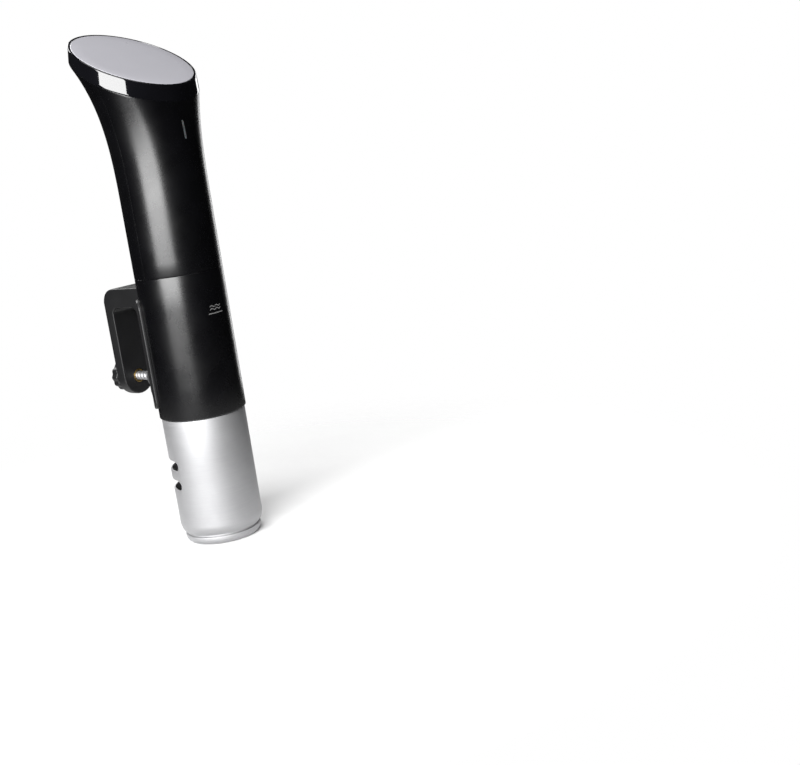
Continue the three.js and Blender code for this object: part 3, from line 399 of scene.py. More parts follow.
def rounded(corners, steps):
    """A closed outline whose corners (x, y, radius) are replaced by arcs."""
    outline = []
    for i, corner in enumerate(corners):
        here = Vector(corner[:2])
        radius = corner[2] if len(corner) > 2 else 0
        if not radius:
            outline.append(here)
            continue
        before = (Vector(corners[i - 1][:2]) - here).normalized()
        after = (Vector(corners[(i + 1) % len(corners)][:2]) - here).normalized()
        half = before.angle(after) / 2
        centre = here + (before + after).normalized() * radius / sin(half)
        start = here + before * radius / tan(half) - centre
        end = here + after * radius / tan(half) - centre
        side = 1 if start.x * end.y > start.y * end.x else -1
        for step in range(steps + 1):
            turn = Matrix.Rotation(side * (pi - 2 * half) * step / steps, 2)
            outline.append(centre + turn @ start)
    return outline


def polar(radius, angle):
    """The (x, y) of a place round Z."""
    return radius * cos(angle), radius * sin(angle)


def circle(radius, height, count, shape=None, shift=0.0):
    """A ring of points; shape gives the radius at each angle instead."""
    ring = []
    for i in range(count):
        angle = 2 * pi * i / count
        x, y = polar(shape(angle, radius) if shape else radius, angle)
        ring.append(Vector((x, y + shift, height)))
    return ring


def stitch(rings, closed):
    """Points and faces of a skin through rings; an open one gets a centre point at each end."""
    count = len(rings[0])
    points = [point for ring in rings for point in ring]
    faces = []
    levels = len(rings)
    for level in range(levels if closed else levels - 1):
        low, high = level * count, (level + 1) % levels * count
        for i in range(count):
            j = (i + 1) % count
            faces.append((low + i, low + j, high + j, high + i))
    if not closed:
        for end in (0, levels - 1):
            centre = len(points)
            points.append(sum(rings[end], Vector()) / count)
            for i in range(count):
                faces.append((centre, end * count + (i + 1) % count, end * count + i))
    return points, faces


def made(points, faces, turn=None):
    """An object from points in millimetres."""
    mesh = bpy.data.meshes.new("piece")
    mesh.from_pydata([MM * (turn @ p if turn else p) for p in points], [], faces)
    work = bmesh.new()
    work.from_mesh(mesh)
    bmesh.ops.remove_doubles(work, verts=work.verts, dist=1e-7)
    bmesh.ops.recalc_face_normals(work, faces=work.faces)
    work.to_mesh(mesh)
    work.free()
    item = bpy.data.objects.new("piece", mesh)
    bpy.context.scene.collection.objects.link(item)
    return item


def lathe(outline, count, turn=None, shape=None):
    """An outline of (radius, height) points turned about Z; it may end on the axis."""
    on_axis = outline[0][0] < 1e-6 and outline[-1][0] < 1e-6
    inner = outline[1:-1] if on_axis else outline
    rings = [circle(radius, height, count, shape) for radius, height in inner]
    points, faces = stitch(rings, not on_axis)
    if on_axis:
        points[-2] = Vector((0, 0, outline[0][1]))
        points[-1] = Vector((0, 0, outline[-1][1]))
    return made(points, faces, turn)


def turned(corners, count=96, turn=None, steps=5):
    """Corners of (radius, height, rounding) turned about Z."""
    return lathe(rounded(corners, steps), count, turn)


def hoop(inner, outer, low, high, edge, count=96, turn=None):
    """A ring with rounded edges."""
    corners = [(inner, low, edge), (outer, low, edge), (outer, high, edge), (inner, high, edge)]
    return turned(corners, count, turn, 4)


def rod(radius, low, high, turn, count):
    """A plain rod along Z, mostly to cut with."""
    return lathe([(0, low), (radius, low), (radius, high), (0, high)], count, turn)


def slab(outer, inner):
    """A closed wall between two grids of points, given as rows that match."""
    tall, wide = len(outer), len(outer[0])
    points = [point for grid in (outer, inner) for row in grid for point in row]

    def at(column, row, side=0):
        return side * tall * wide + row * wide + column

    faces = []
    for row in range(tall - 1):
        for column in range(wide - 1):
            corners = [(column, row), (column + 1, row), (column + 1, row + 1), (column, row + 1)]
            faces.append([at(*corner) for corner in corners])
            faces.append([at(*corner, 1) for corner in reversed(corners)])
    for row in range(tall - 1):
        for column in (0, wide - 1):
            faces.append([at(column, row), at(column, row + 1),
                          at(column, row + 1, 1), at(column, row, 1)])
    for column in range(wide - 1):
        for row in (0, tall - 1):
            faces.append([at(column, row), at(column + 1, row),
                          at(column + 1, row, 1), at(column, row, 1)])
    return made(points, faces)


def between(first, second, turn=None):
    """A solid between two rings of points."""
    count = len(first)
    sides = [(i, (i + 1) % count, count + (i + 1) % count, count + i) for i in range(count)]
    ends = [tuple(range(count)), tuple(range(count, 2 * count))]
    return made(first + second, sides + ends, turn)


def prism(outline, low, high, turn=None):
    """An outline extruded along Z."""
    ends = [[Vector((x, y, height)) for x, y in outline] for height in (low, high)]
    return between(*ends, turn)


def block(low, high, edge=0.0, turn=None):
    """A box between two corners, with its edges rounded."""
    outline = [(low[0], low[1]), (high[0], low[1]), (high[0], high[1]), (low[0], high[1])]
    item = prism(outline, low[2], high[2], turn)
    return bevelled(item, edge) if edge else item


def settle(item):
    """Applies an object's modifiers."""
    graph = bpy.context.evaluated_depsgraph_get()
    before = item.data
    item.data = bpy.data.meshes.new_from_object(item.evaluated_get(graph))
    item.modifiers.clear()
    bpy.data.meshes.remove(before)
    return item


def bevelled(item, width, steps=3):
    """Rounds an object's hard edges."""
    rounding = item.modifiers.new("rounding", "BEVEL")
    rounding.width = width * MM
    rounding.segments = steps
    rounding.limit_method = "ANGLE"
    rounding.angle_limit = radians(35)
    return settle(item)


SLIVER = 0.003                             # faces narrower than this are closed up


def cleaned(item):
    """Closes the hairline slivers that cutting leaves."""
    work = bmesh.new()
    work.from_mesh(item.data)
    bmesh.ops.remove_doubles(work, verts=work.verts, dist=SLIVER * MM)
    bmesh.ops.dissolve_degenerate(work, edges=work.edges, dist=SLIVER * MM)
    bmesh.ops.delete(work, geom=[e for e in work.edges if e.is_wire], context="EDGES")
    bmesh.ops.holes_fill(work, edges=[e for e in work.edges if e.is_boundary], sides=0)
    bmesh.ops.recalc_face_normals(work, faces=work.faces)
    work.to_mesh(item.data)
    work.free()
    return item


def combined(item, tools, operation):
    """Joins or cuts an object with others, which are used up."""
    for tool in tools:
        joining = item.modifiers.new("joining", "BOOLEAN")
        joining.object = tool
        joining.operation = operation
        joining.solver = "EXACT"
        settle(item)
        bpy.data.objects.remove(tool)
    return cleaned(item)


def cut(item, *tools):
    return combined(item, tools, "DIFFERENCE")


def joined(item, *tools):
    return combined(item, tools, "UNION")


def softened(item, voxel, passes):
    """One even skin over an object, with every edge and inner corner eased."""
    skin = item.modifiers.new("skin", "REMESH")
    skin.mode = "VOXEL"
    skin.voxel_size = voxel * MM
    ease = item.modifiers.new("ease", "SMOOTH")
    ease.factor = 0.5
    ease.iterations = passes
    return settle(item)


ALONG_Y = Matrix.Rotation(-pi / 2, 4, "X")


def along_y(x, z, y=0.0):
    """Turns a piece made along Z to lie along +Y through a point."""
    return Matrix.Translation((x, y, z)) @ ALONG_Y


def rod_along_y(radius, near, far, z, x=0.0, count=48):
    return rod(radius, near, far, along_y(x, z), count)


def upright_rod(radius, low, high, x, y, count=48):
    return rod(radius, low, high, Matrix.Translation((x, y, 0)), count)


def finish(item, name, body, slot, smooth=32):
    """Names a piece, shades it smooth up to an angle and lets it ride on a body."""
    item.name = name
    item.data.name = name
    item.data.shade_smooth()
    item.data.set_sharp_from_angle(angle=radians(smooth))
    item.data.materials.clear()
    item.data.materials.append(LOOKS[slot])
    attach(item, body)


def stand_in(item, node, smooth=32):
    """The finished form of a CAD node, which it replaces."""
    finish(item, f"{node}_fine", frame["nodes"][node]["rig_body"], SLOTS[node], smooth)
    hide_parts(node)


# ------------------------------------------------------------------------ head

FINE = 192                                 # points round the largest turned pieces


def head_ring(inset, share):
    """A ring on the head's side: share 0 is the face's edge, 1 the band's lower edge."""
    radius = HEAD_R + (BAND_R - HEAD_R) * share - inset
    return circle(radius, -BAND_DROP * share, FINE, None, -BAND_LEAN * share)


def bezel_ring():
    """The gloss band, with the pocket and the shelf that carry the window."""
    outside = [(2.0, 1), (0.35, 1), (0.1, 0.99), (0, 0.96)]
    outside += [(0, share / 8) for share in range(7, 0, -1)]
    outside += [(0, 0.06), (0.06, 0.028), (0.22, 0.007), (0.45, 0)]
    rings = [head_ring(inset, share) for inset, share in outside]
    pocket = LENS_R + 0.08
    low = SHELF_Z - SHELF_T
    inside = [
        (pocket + 0.25, 0), (pocket + 0.07, -0.05), (pocket, -0.2),
        (pocket - LENS_DRAFT, -LENS_T), (pocket - LENS_DRAFT, SHELF_Z),
        (SHELF_R, SHELF_Z), (SHELF_R, low),
    ]
    rings += [circle(radius, height, FINE) for radius, height in inside]
    rings += [head_ring(BEZEL_WALL, -low / BAND_DROP), head_ring(BEZEL_WALL, 1)]
    return made(*stitch(rings, True), HEAD)


def display_lens():
    """A satin window with a finely rounded front edge."""
    lower = LENS_R - LENS_DRAFT
    outline = rounded([(0, -LENS_T), (lower, -LENS_T, 0.1), (LENS_R, 0, 0.45), (0, 0)], 8)
    return lathe([*outline[:-1], (30, 0), (15, 0), (5, 0), (0, 0)], FINE, HEAD)


def display_module():
    """Four seven-segment digits, sunk in the face of a flat block."""
    low = BOARD_TOP + FIT
    top = -LENS_T - 0.6
    depth, pitch, bar_w, half_digit = 0.4, 9, 0.55, 2.5
    item = block((-19, -9, low), (19, 9, top), 0.3, HEAD)
    tools = []
    for digit in range(4):
        x = (digit - 1.5) * pitch
        level = [(x, y, 2.2, bar_w) for y in (-2 * half_digit, 0, 2 * half_digit)]
        upright = [(x + side * 2.6, y, bar_w, 1.9)
                   for side in (-1, 1) for y in (-half_digit, half_digit)]
        for cx, cy, rx, ry in level + upright:
            tools.append(block((cx - rx, cy - ry, top - depth), (cx + rx, cy + ry, top + 1),
                               0, HEAD))
    return cut(item, *tools)


def make_head():
    stand_in(bezel_ring(), "bezel_ring")
    stand_in(display_lens(), "display_lens", 50)
    stand_in(display_module(), "display_module")
    top = -LENS_T - FIT
    gasket = hoop(SHELF_R + 0.4, LENS_R - LENS_DRAFT - 0.2, top - 0.4, top, 0.15, FINE, HEAD)
    stand_in(gasket, "display_gasket")


# ------------------------------------------------------------------ upper body

EDGE = 0.3                                 # rounding where two casing pieces meet
SEAM_GAP = 0.05                            # from the seam's plane to the pieces that meet there
PARTING_GAP = 0.03                         # the same at the line between the half shells
FLARE_H = 85                               # about the flare's height, to size that rounding
SHELL_COLUMNS = 96                         # steps round a half shell
FLARE_ROWS = 56                            # steps up the flare
EASED = [(0, 1), (0.12, 0.55), (0.45, 0.12), (1, 0)]   # along and into a rounded edge


def body_point(inset, angle, rise):
    """The flared body's surface: rise is negative on the tube, 0 to 1 on the flare."""
    radius = TUBE_R - inset
    tube = Vector((*polar(radius, angle), FLARE_Z))
    if rise <= 0:
        low = SEAM_Z + SEAM_GAP
        return Vector((tube.x, tube.y, FLARE_Z + rise * (FLARE_Z - low)))
    x, y = polar(BAND_R - inset, angle)
    end = HEAD @ Vector((x, y - BAND_LEAN, -BAND_DROP))
    spread = rise ** FLARE_POWER
    return Vector((
        tube.x + (end.x - tube.x) * spread,
        tube.y + (end.y - tube.y) * spread,
        tube.z + (end.z - tube.z) * rise,
    ))


def parting_angle(rise):
    """Where the surface crosses the parting plane, y = 0, on the -X side."""
    low, high = pi - 0.5, pi + 0.5
    for _ in range(40):
        middle = (low + high) / 2
        if body_point(0, middle, rise).y > 0:
            low = middle
        else:
            high = middle
    return low


def half_shell(side):
    """The front (-1) or rear (1) half of the upper body, closed all round."""
    gap = asin(PARTING_GAP / TUBE_R)
    edge = EDGE / TUBE_R
    columns = [(0, edge * along, EDGE * into) for along, into in EASED]
    columns += [(i / SHELL_COLUMNS, 0, 0) for i in range(2, SHELL_COLUMNS - 1)]
    columns += [(1, -edge * along, EDGE * into) for along, into in EASED[::-1]]
    tube_edge = EDGE / (FLARE_Z - SEAM_Z)
    flare_edge = EDGE / FLARE_H
    rows = [(-1 + tube_edge * along, EDGE * into) for along, into in EASED]
    rows += [(rise / 5, 0) for rise in range(-4, 0)]
    rows += [(rise / FLARE_ROWS, 0) for rise in range(FLARE_ROWS)]
    rows += [(1 - flare_edge * along, EDGE * into) for along, into in EASED[::-1]]
    outer, inner = [], []
    for rise, row_inset in rows:
        parting = parting_angle(rise)
        first, last = (parting, 3 * pi - parting) if side < 0 else (pi - parting, parting)
        reach = last - first - 2 * gap
        turns = [first + gap + reach * share + nudge for share, nudge, _ in columns]
        insets = [max(row_inset, inset) for _, _, inset in columns]
        outer.append([body_point(inset, turn, rise) for inset, turn in zip(insets, turns)])
        inner.append([body_point(WALL, turn, rise) for turn in turns])
    return slab(outer, inner)


SLIT_Z = 258.5
SLIT_H = 11.5
SLIT_W = 1.6
SHELL_SCREW_HEIGHTS = (191, 238)
SHELL_HEAD_Y = 24.4
GLAND_Z = 262
GLAND_Y = 33
SCREW_HOLE_R = 1.75
SCREW_SINK_R = 3.3
BOSS_R = 4.2


def slit_tool(inset, near, far):
    """A slot with round ends on the front centre line."""
    half = SLIT_W / 2 - inset
    low, high = SLIT_Z + inset, SLIT_Z + SLIT_H - inset
    outline = rounded([
        (-half, -high, half * 0.98), (half, -high, half * 0.98),
        (half, -low, half * 0.98), (-half, -low, half * 0.98),
    ], 8)
    return prism(outline, near, far, ALONG_Y)


def make_shells():
    """The two halves of the upper body, and the status light in the front one's slit."""
    front = half_shell(-1)
    bosses = [rod_along_y(BOSS_R, 1 - TUBE_R, -2, z) for z in SHELL_SCREW_HEIGHTS]
    holes = [rod_along_y(SCREW_HOLE_R, -14, 5, z) for z in SHELL_SCREW_HEIGHTS]
    front = cut(joined(front, *bosses), *holes, slit_tool(0, -TUBE_R - 6, -TUBE_R + 8))
    stand_in(front, "front_shell")

    rear = half_shell(1)
    bosses = [rod_along_y(BOSS_R, 2, TUBE_R - 1, z) for z in SHELL_SCREW_HEIGHTS]
    collar = turned([(0, BORE_R + 1), (9, BORE_R + 1), (9, GLAND_Y, 0.8), (0, GLAND_Y)],
                    96, along_y(0, GLAND_Z))
    seat = SHELL_HEAD_Y - FIT
    sinks = [rod_along_y(SCREW_SINK_R, seat, TUBE_R + 5, z) for z in SHELL_SCREW_HEIGHTS]
    holes = [rod_along_y(SCREW_HOLE_R, -1, TUBE_R + 5, z) for z in SHELL_SCREW_HEIGHTS]
    gland_hole = rod_along_y(5.5, 0, GLAND_Y + 5, GLAND_Z)
    rear = cut(joined(rear, *bosses, collar), *sinks, *holes, gland_hole)
    stand_in(rear, "rear_shell")

    light = slit_tool(0.08, -TUBE_R - 6, -TUBE_R + 8)
    stand_in(combined(half_shell(-1), [light], "INTERSECT"), "status_light_pipe", 50)


def screw(node, length, turn, shank=1.45, head=3.0):
    """A pan-head screw along Z with its seat at zero and a six-sided key recess."""
    height, key_depth = 2.2, 1.2
    body = turned([
        (0, -length), (shank * 0.6, -length), (shank, -length + 1.2), (shank, 0, 0.1),
        (head, 0, 0.15), (head, height * 0.55, 0.5), (head * 0.72, height, 0.4), (0, height),
    ], 48, turn, 4)
    key = [polar(0.5 * head, pi * i / 3) for i in range(6)]
    stand_in(cut(body, prism(key, height - key_depth, height + 1, turn)), node)


def cord_gland():
    """A stepped rubber gland with a flange and an open mouth for the cord."""
    mouth, depth = 2.3, 3.8
    return turned([
        (0, -9), (5.2, -9, 0.4), (5.2, 0.05, 0.05), (7, 0.05, 0.4), (7, 1.5, 0.5),
        (6.2, mouth, 0.4), (4.3, mouth, 0.3), (3.6, 1.6, 0.3), (3.6, mouth - depth, 0.2),
        (0, mouth - depth),
    ], 96, along_y(0, GLAND_Z, GLAND_Y))


def make_upper_body():
    make_shells()
    length = SHELL_HEAD_Y + 12
    for place, height in zip(("lower", "upper"), SHELL_SCREW_HEIGHTS):
        screw(f"shell_screw_{place}", length, along_y(0, height, SHELL_HEAD_Y))
    stand_in(cord_gland(), "cord_gland", 40)


# ---------------------------------------------------------------------- sleeve

BRACKET_SCREW_HEIGHTS = (125, 147)
BRACKET_SEAT_Y = SADDLE_Y - 2.6
MARK_Z = 153
GROOVE_H = 2.2
GROOVE_DEPTH = 1.9


def groove_at(radius, height):
    """Corners of a seal groove in a wall, from its lower edge up."""
    low, high, floor = height - GROOVE_H / 2, height + GROOVE_H / 2, radius - GROOVE_DEPTH
    return [(radius, low, 0.1), (floor, low), (floor, high), (radius, high, 0.1)]


def lower_sleeve():
    """The black sleeve, with its spigot inside the upper body and a seal groove."""
    spigot = BORE_R - FIT
    top = SEAM_Z - SEAM_GAP
    spigot_top = SLEEVE_HIGH.z
    low = SLEEVE_LOW.z
    item = turned([
        (BORE_R, low, 0.2), (TUBE_R, low, 0.5), (TUBE_R, low + 20), (TUBE_R, low + 45),
        (TUBE_R, low + 70), (TUBE_R, top, 0.35), (spigot, top, 0.1),
        *groove_at(spigot, (SEAM_Z + spigot_top) / 2), (spigot, spigot_top, 0.4),
        (21.8, spigot_top, 0.3), (21.8, SEAM_Z - 6), (BORE_R, SEAM_Z - 10),
    ], FINE)
    holes = [rod_along_y(SCREW_HOLE_R, 0, TUBE_R + 5, z) for z in BRACKET_SCREW_HEIGHTS]
    return cut(item, *holes)


def wrapped(outline):
    """A flat outline (sideways, up) laid on the front of the sleeve as a thin skin."""
    sunk, proud = 0.02, 0.03
    rings = []
    for radius in (TUBE_R - sunk, TUBE_R + proud):
        rings.append([
            Vector((radius * sin(x / TUBE_R), -radius * cos(x / TUBE_R), z)) for x, z in outline
        ])
    return between(*rings)


def level_mark():
    """The highest water level: a line with two small waves over it."""
    half, low, high = 6, MARK_Z - 3.2, MARK_Z - 2.5
    line = wrapped([(-half + 2 * half * i / 16, low) for i in range(17)]
                   + [(half - 2 * half * i / 16, high) for i in range(17)])
    waves = []
    swing, half_stroke, spacing = 0.45, 0.32, 1.9
    for row in range(2):
        middle = MARK_Z - 0.2 + spacing * row
        wave = [(x / 4, middle + swing * sin(x * pi / 8)) for x in range(-18, 19)]
        upper = [(x, z + half_stroke) for x, z in wave]
        lower = [(x, z - half_stroke) for x, z in reversed(wave)]
        waves.append(wrapped(upper + lower))
    return joined(line, *waves)


def make_sleeve():
    stand_in(lower_sleeve(), "lower_sleeve")
    finish(level_mark(), "level_mark", "casing", "white_ink")


# --------------------------------------------------------------------- wet end

def outlet_tool(height):
    """A slot with round ends through the skirt's side, with a rolled rim."""
    depths = [(3, 0), (0.6, 0), (0.35, 0.08), (0.2, 0.2), (0.08, 0.38), (0, 0.65),
              (-0.3, 1.5), (-6, 1.5)]
    flat = OUTLET_W / 2 - OUTLET_H / 2
    rings = []
    for depth, grown in depths:
        reach = SKIRT_R - depth
        half = OUTLET_H / 2 + grown
        outline = [(-flat + 2 * flat * i / 30, -half) for i in range(30)]
        outline += [(flat + half * sin(pi * i / 16), -half * cos(pi * i / 16)) for i in range(16)]
        outline += [(-x, -z) for x, z in outline]
        rings.append([
            Vector((*polar(reach, OUTLET_ANGLE + asin(x / reach)), height + z))
            for x, z in outline
        ])
    return made(*stitch(rings, False))


def skirt():
    """A drawn steel tube whose lower end curves in, with two punched outlets."""
    inner = SKIRT_R - SKIRT_WALL
    low, high = SKIRT_LOW.z, SKIRT_HIGH.z
    lowest = asin(SKIRT_END_H / SKIRT_END_R)
    ends = []
    for reach in (SKIRT_END_R, SKIRT_END_R - SKIRT_WALL):
        turns = [lowest * i / 8 for i in range(8, -1, -1)]
        ends.append([(SKIRT_R - SKIRT_END_R + reach * cos(turn),
                      low + SKIRT_END_H - reach * sin(turn)) for turn in turns])
    outer, inside = ends
    tube = turned([
        (*outer[0], 0.25), *outer[1:], (SKIRT_R, low + 25), (SKIRT_R, low + 50),
        (SKIRT_R, high, 0.3), (inner, high, 0.3), *inside[:0:-1], (*inside[0], 0.25),
    ], FINE, None, 4)
    return cut(tube, *[outlet_tool(height) for height in OUTLET_HEIGHTS])


def bottom_cap():
    """The end cap with a spigot in the skirt, a rounded foot and a ring of inlets."""
    inner = CAP_SPIGOT_R - 2
    top, floor = CAP_HIGH.z, 2.4
    item = turned([
        (0, 0), (CAP_R, 0, CAP_EDGE_R), (CAP_R, CAP_H, 0.6), (CAP_SPIGOT_R, CAP_H, 0.1),
        (CAP_SPIGOT_R, top, 0.5), (inner, top, 0.4), (inner, floor, 0.8), (0, floor),
    ], FINE, None, 8)
    count, half, end = 12, 1.5, 1.45
    inlet = rounded([(INLET_R0, -half, end), (INLET_R1, -half, end),
                     (INLET_R1, half, end), (INLET_R0, half, end)], 6)
    turns = [Matrix.Rotation(2 * pi * (i + 0.5) / count, 4, "Z") for i in range(count)]
    return cut(item, *[prism(inlet, -1, 4, turn) for turn in turns])


def blade_edge(first, side, root, tip):
    """One side of a swept blade, seen from above."""
    edge = []
    for i in range(17):
        share = i / 16
        reach = root + (tip - root) * share
        edge.append(polar(reach, first + radians(40) * share ** 2 + side * 0.6 / reach))
    return edge


def impeller():
    """Six swept blades under a disc."""
    low, _, radius = upright_span("impeller")
    disc_low = low + 7
    disc_high, hub_high = disc_low + 1.4, disc_low + 4
    hub, bore = 4.6, 1.7
    item = turned([
        (bore, low, 0.2), (hub, low, 0.4), (hub, disc_low, 0.5), (radius, disc_low, 0.3),
        (radius, disc_high, 0.4), (hub, disc_high, 0.6), (hub, hub_high, 0.4),
        (bore, hub_high, 0.2),
    ], 96, None, 4)
    blades = []
    for i in range(6):
        first = 2 * pi * i / 6
        near, far = (blade_edge(first, side, hub - 1, radius - 0.5) for side in (-1, 1))
        blades.append(prism(near + far[::-1], low, disc_low + 0.7))
    return joined(item, *blades)


HEATER_TUBE_R = 2.8
HEATER_COIL_R = 15.8
HEATER_LEG_R = 9.6
HEATER_TURNS = 3
HEATER_PITCH = 11
HEATER_LOW_Z = 30
HEATER_TOP_Z = 91
COIL_STEPS = 16                            # points in one turn of the coil
PROBE_RING_R = 21
PROBES = {                                 # radius, angle in degrees and height of the tip
    "temperature_probe": (1.75, -60, 24),
    "level_probe": (1.4, -120, 58),
}


def heater_route():
    """Down the outer leg, round the coil, and up again inside it."""
    coil_top = HEATER_LOW_Z + HEATER_TURNS * HEATER_PITCH
    route = [Vector((HEATER_COIL_R, 0, z)) for z in range(HEATER_TOP_Z, coil_top + 4, -5)]
    for i in range(1, HEATER_TURNS * COIL_STEPS):
        angle = 2 * pi * i / COIL_STEPS
        height = coil_top - HEATER_PITCH * i / COIL_STEPS
        route.append(Vector((*polar(HEATER_COIL_R, angle), height)))
    route.append(Vector((HEATER_COIL_R - 2, 0, HEATER_LOW_Z - 2)))
    route.append(Vector((HEATER_LEG_R, 3, HEATER_LOW_Z + 2)))
    route += [Vector((HEATER_LEG_R, 0, z)) for z in range(HEATER_LOW_Z + 10, HEATER_TOP_Z + 1, 6)]
    return route


def smooth_route(route):
    """Catmull-Rom points along a route."""
    steps = 4
    ends = [route[0] * 2 - route[1], *route, route[-1] * 2 - route[-2]]
    fine = []
    for i in range(1, len(ends) - 2):
        a, b, c, d = ends[i - 1:i + 3]
        for step in range(steps):
            t = step / steps
            fine.append(0.5 * (2 * b + (c - a) * t + (2 * a - 5 * b + 4 * c - d) * t * t
                               + (3 * b - a - 3 * c + d) * t ** 3))
    return [*fine, route[-1]]


def tube_along(route, radius):
    """A round tube along points, with its ends closed."""
    sides = 20
    rings = []
    across = Vector((0, 1, 0))
    for i, point in enumerate(route):
        ahead = (route[min(i + 1, len(route) - 1)] - route[max(i - 1, 0)]).normalized()
        across = (across - ahead * across.dot(ahead)).normalized()
        other = ahead.cross(across)
        rings.append([
            point + radius * (cos(2 * pi * k / sides) * across + sin(2 * pi * k / sides) * other)
            for k in range(sides)
        ])
    return made(*stitch(rings, False))


def probe_place(angle):
    return polar(PROBE_RING_R, radians(angle))


def probe(radius, angle, low):
    """A closed steel finger with a round tip."""
    top = 92
    tip = [(radius * sin(pi * i / 12), low + radius * (1 - cos(pi * i / 12))) for i in range(7)]
    place = Matrix.Translation((*probe_place(angle), 0))
    return lathe([*tip, (radius, top), (0, top)], 48, place)


def make_wet_end():
    stand_in(skirt(), "skirt")
    stand_in(bottom_cap(), "bottom_cap")
    stand_in(impeller(), "impeller")
    stand_in(tube_along(smooth_route(heater_route()), HEATER_TUBE_R), "heater_coil", 50)
    for node, (radius, angle, low) in PROBES.items():
        stand_in(probe(radius, angle, low), node, 50)


# ----------------------------------------------------------------------- clamp

CLAMP_W = 25
SIDEWAYS = Matrix(((0, 0, 1, 0), (1, 0, 0, 0), (0, 1, 0, 0), (0, 0, 0, 1)))


def clamp_arch():
    """The inverted U: saddle, arm and outer leg, with round corners at the lower ends."""
    half = CLAMP_W / 2
    low, top, out = BRACKET_LOW.z, BRACKET_HIGH.z, BRACKET_HIGH.y
    under = top - ARM_T
    leg_low = SCREW_Z - half
    outline = rounded([
        (TUBE_R / 2, low), (SADDLE_Y, low, 2), (SADDLE_Y, under, 4), (LEG_Y, under, 4),
        (LEG_Y, leg_low), (out, leg_low), (out, top, 10), (TUBE_R / 2, top),
    ], 10)
    arch = prism(outline, -half, half, SIDEWAYS)
    wastes = []
    for near, far, floor, radius in ((45, out + 5, leg_low, half), (0, 45, low, 8)):
        for side in (-1, 1):
            x = side * (half - radius)
            far_x = side * (half + 5)
            waste = block((min(x, far_x), near, floor - 5), (max(x, far_x), far, floor + radius))
            corner = rod_along_y(radius, near - 5, far + 5, floor + radius, x, 96)
            wastes.append(cut(waste, corner))
    return cut(arch, *wastes)


def clamp_wings():
    """The saddle's thin wings, which wrap the sleeve and have rounded corners."""
    spread, corner, thickness = radians(67), 6, 1.8
    low, high = BRACKET_LOW.z, 163
    outside = TUBE_R + FIT + thickness
    grids = ([], [])
    for i in range(65):
        share = sin(pi / 2 * (2 * i / 64 - 1))
        aside = min(corner, outside * spread * (1 - abs(share)))
        inset = corner - sqrt(corner ** 2 - (corner - aside) ** 2)
        angle = pi / 2 + spread * share
        for grid, radius in zip(grids, (outside, TUBE_R - 1)):
            grid.append([
                Vector((*polar(radius, angle), low + inset + (high - low - 2 * inset) * row / 24))
                for row in range(25)
            ])
    return slab(*grids)


def clamp_bracket():
    """One moulding: the arch and the wings, with its holes and the grip's pocket."""
    nut_hole = rod_along_y(NUT_HIGH.x + 0.1, LEG_Y - 5, BRACKET_HIGH.y + 5, SCREW_Z, 0, 96)
    room = 0.2
    pocket = block(
        (GRIP_LOW.x - room, GRIP_LOW.y - room, GRIP_LOW.z - room),
        (GRIP_HIGH.x + room, SADDLE_Y + 5, GRIP_HIGH.z + room),
    )
    seat = BRACKET_SEAT_Y - FIT
    holes = [rod_along_y(SCREW_HOLE_R, 0, SADDLE_Y + 5, z) for z in BRACKET_SCREW_HEIGHTS]
    sinks = [rod_along_y(SCREW_SINK_R, seat, SADDLE_Y + 1, z) for z in BRACKET_SCREW_HEIGHTS]
    tube = rod(TUBE_R + 0.15, 0, 200, None, FINE)
    moulding = softened(joined(clamp_arch(), clamp_wings()), 0.5, 14)
    return cut(moulding, tube, nut_hole, pocket, *holes, *sinks)


def grip_pad():
    """A rubber pad with cross ribs."""
    item = block(GRIP_LOW, GRIP_HIGH)
    ribs, depth, half_gap = 5, 0.6, 0.4
    for i in range(1, ribs):
        z = GRIP_LOW.z + i * (GRIP_HIGH.z - GRIP_LOW.z) / ribs
        gap = block((-20, GRIP_HIGH.y - depth, z - half_gap), (20, GRIP_HIGH.y + 1, z + half_gap))
        item = cut(item, gap)
    return bevelled(item, 0.2)


THREAD_PITCH = 3
THREAD_DEPTH = 0.6
TIP_R = 3.3                                # holes that take the thumb screw


def clamp_screw():
    """A coarse right-hand thread, plain where it enters the pad and the knob."""
    low, high, radius = SCREW_LOW.y, SCREW_HIGH.y, SCREW_HIGH.x
    count, step, chamfer = 64, 0.2, 0.3
    steps = round((high - low) / step)
    rings = [circle(radius - 0.8, low, count)]
    for i in range(steps + 1):
        y = low + chamfer + (high - low - 2 * chamfer) * i / steps
        fade = max(0, min(1, (y - low - 3) / 1.5, (high - 4 - y) / 1.5))

        def thread(angle, reach, y=y, fade=fade):
            phase = y / THREAD_PITCH - angle / (2 * pi)
            wave = max(-1, min(1, 1.7 * cos(2 * pi * phase)))
            return reach - THREAD_DEPTH / 2 * fade * (1 - wave)

        rings.append(circle(radius, y, count, thread))
    rings.append(circle(radius - 0.8, high, count))
    return made(*stitch(rings, False), along_y(0, SCREW_Z))


def clamp_pad():
    """A swivel pad: a socket for the screw's tip and concentric ribs on its face."""
    face, back = PAD_LOW.y, PAD_HIGH.y
    radius = PAD_HIGH.x
    ribs = []
    for i in range(4):
        outer = radius - 2.2 - 1.6 * i
        ribs += [(outer, face, 0.15), (outer - 0.25, face + 0.35, 0.1),
                 (outer - 0.65, face + 0.35, 0.1), (outer - 0.9, face, 0.15)]
    return turned([
        (0, face), *ribs[::-1], (radius, face, 0.6), (radius, face + 2, 0.4), (4.9, back, 0.4),
        (TIP_R, back, 0.2), (TIP_R, back - 2.4, 0.2), (0, back - 2.4),
    ], 96, along_y(0, SCREW_Z), 4)


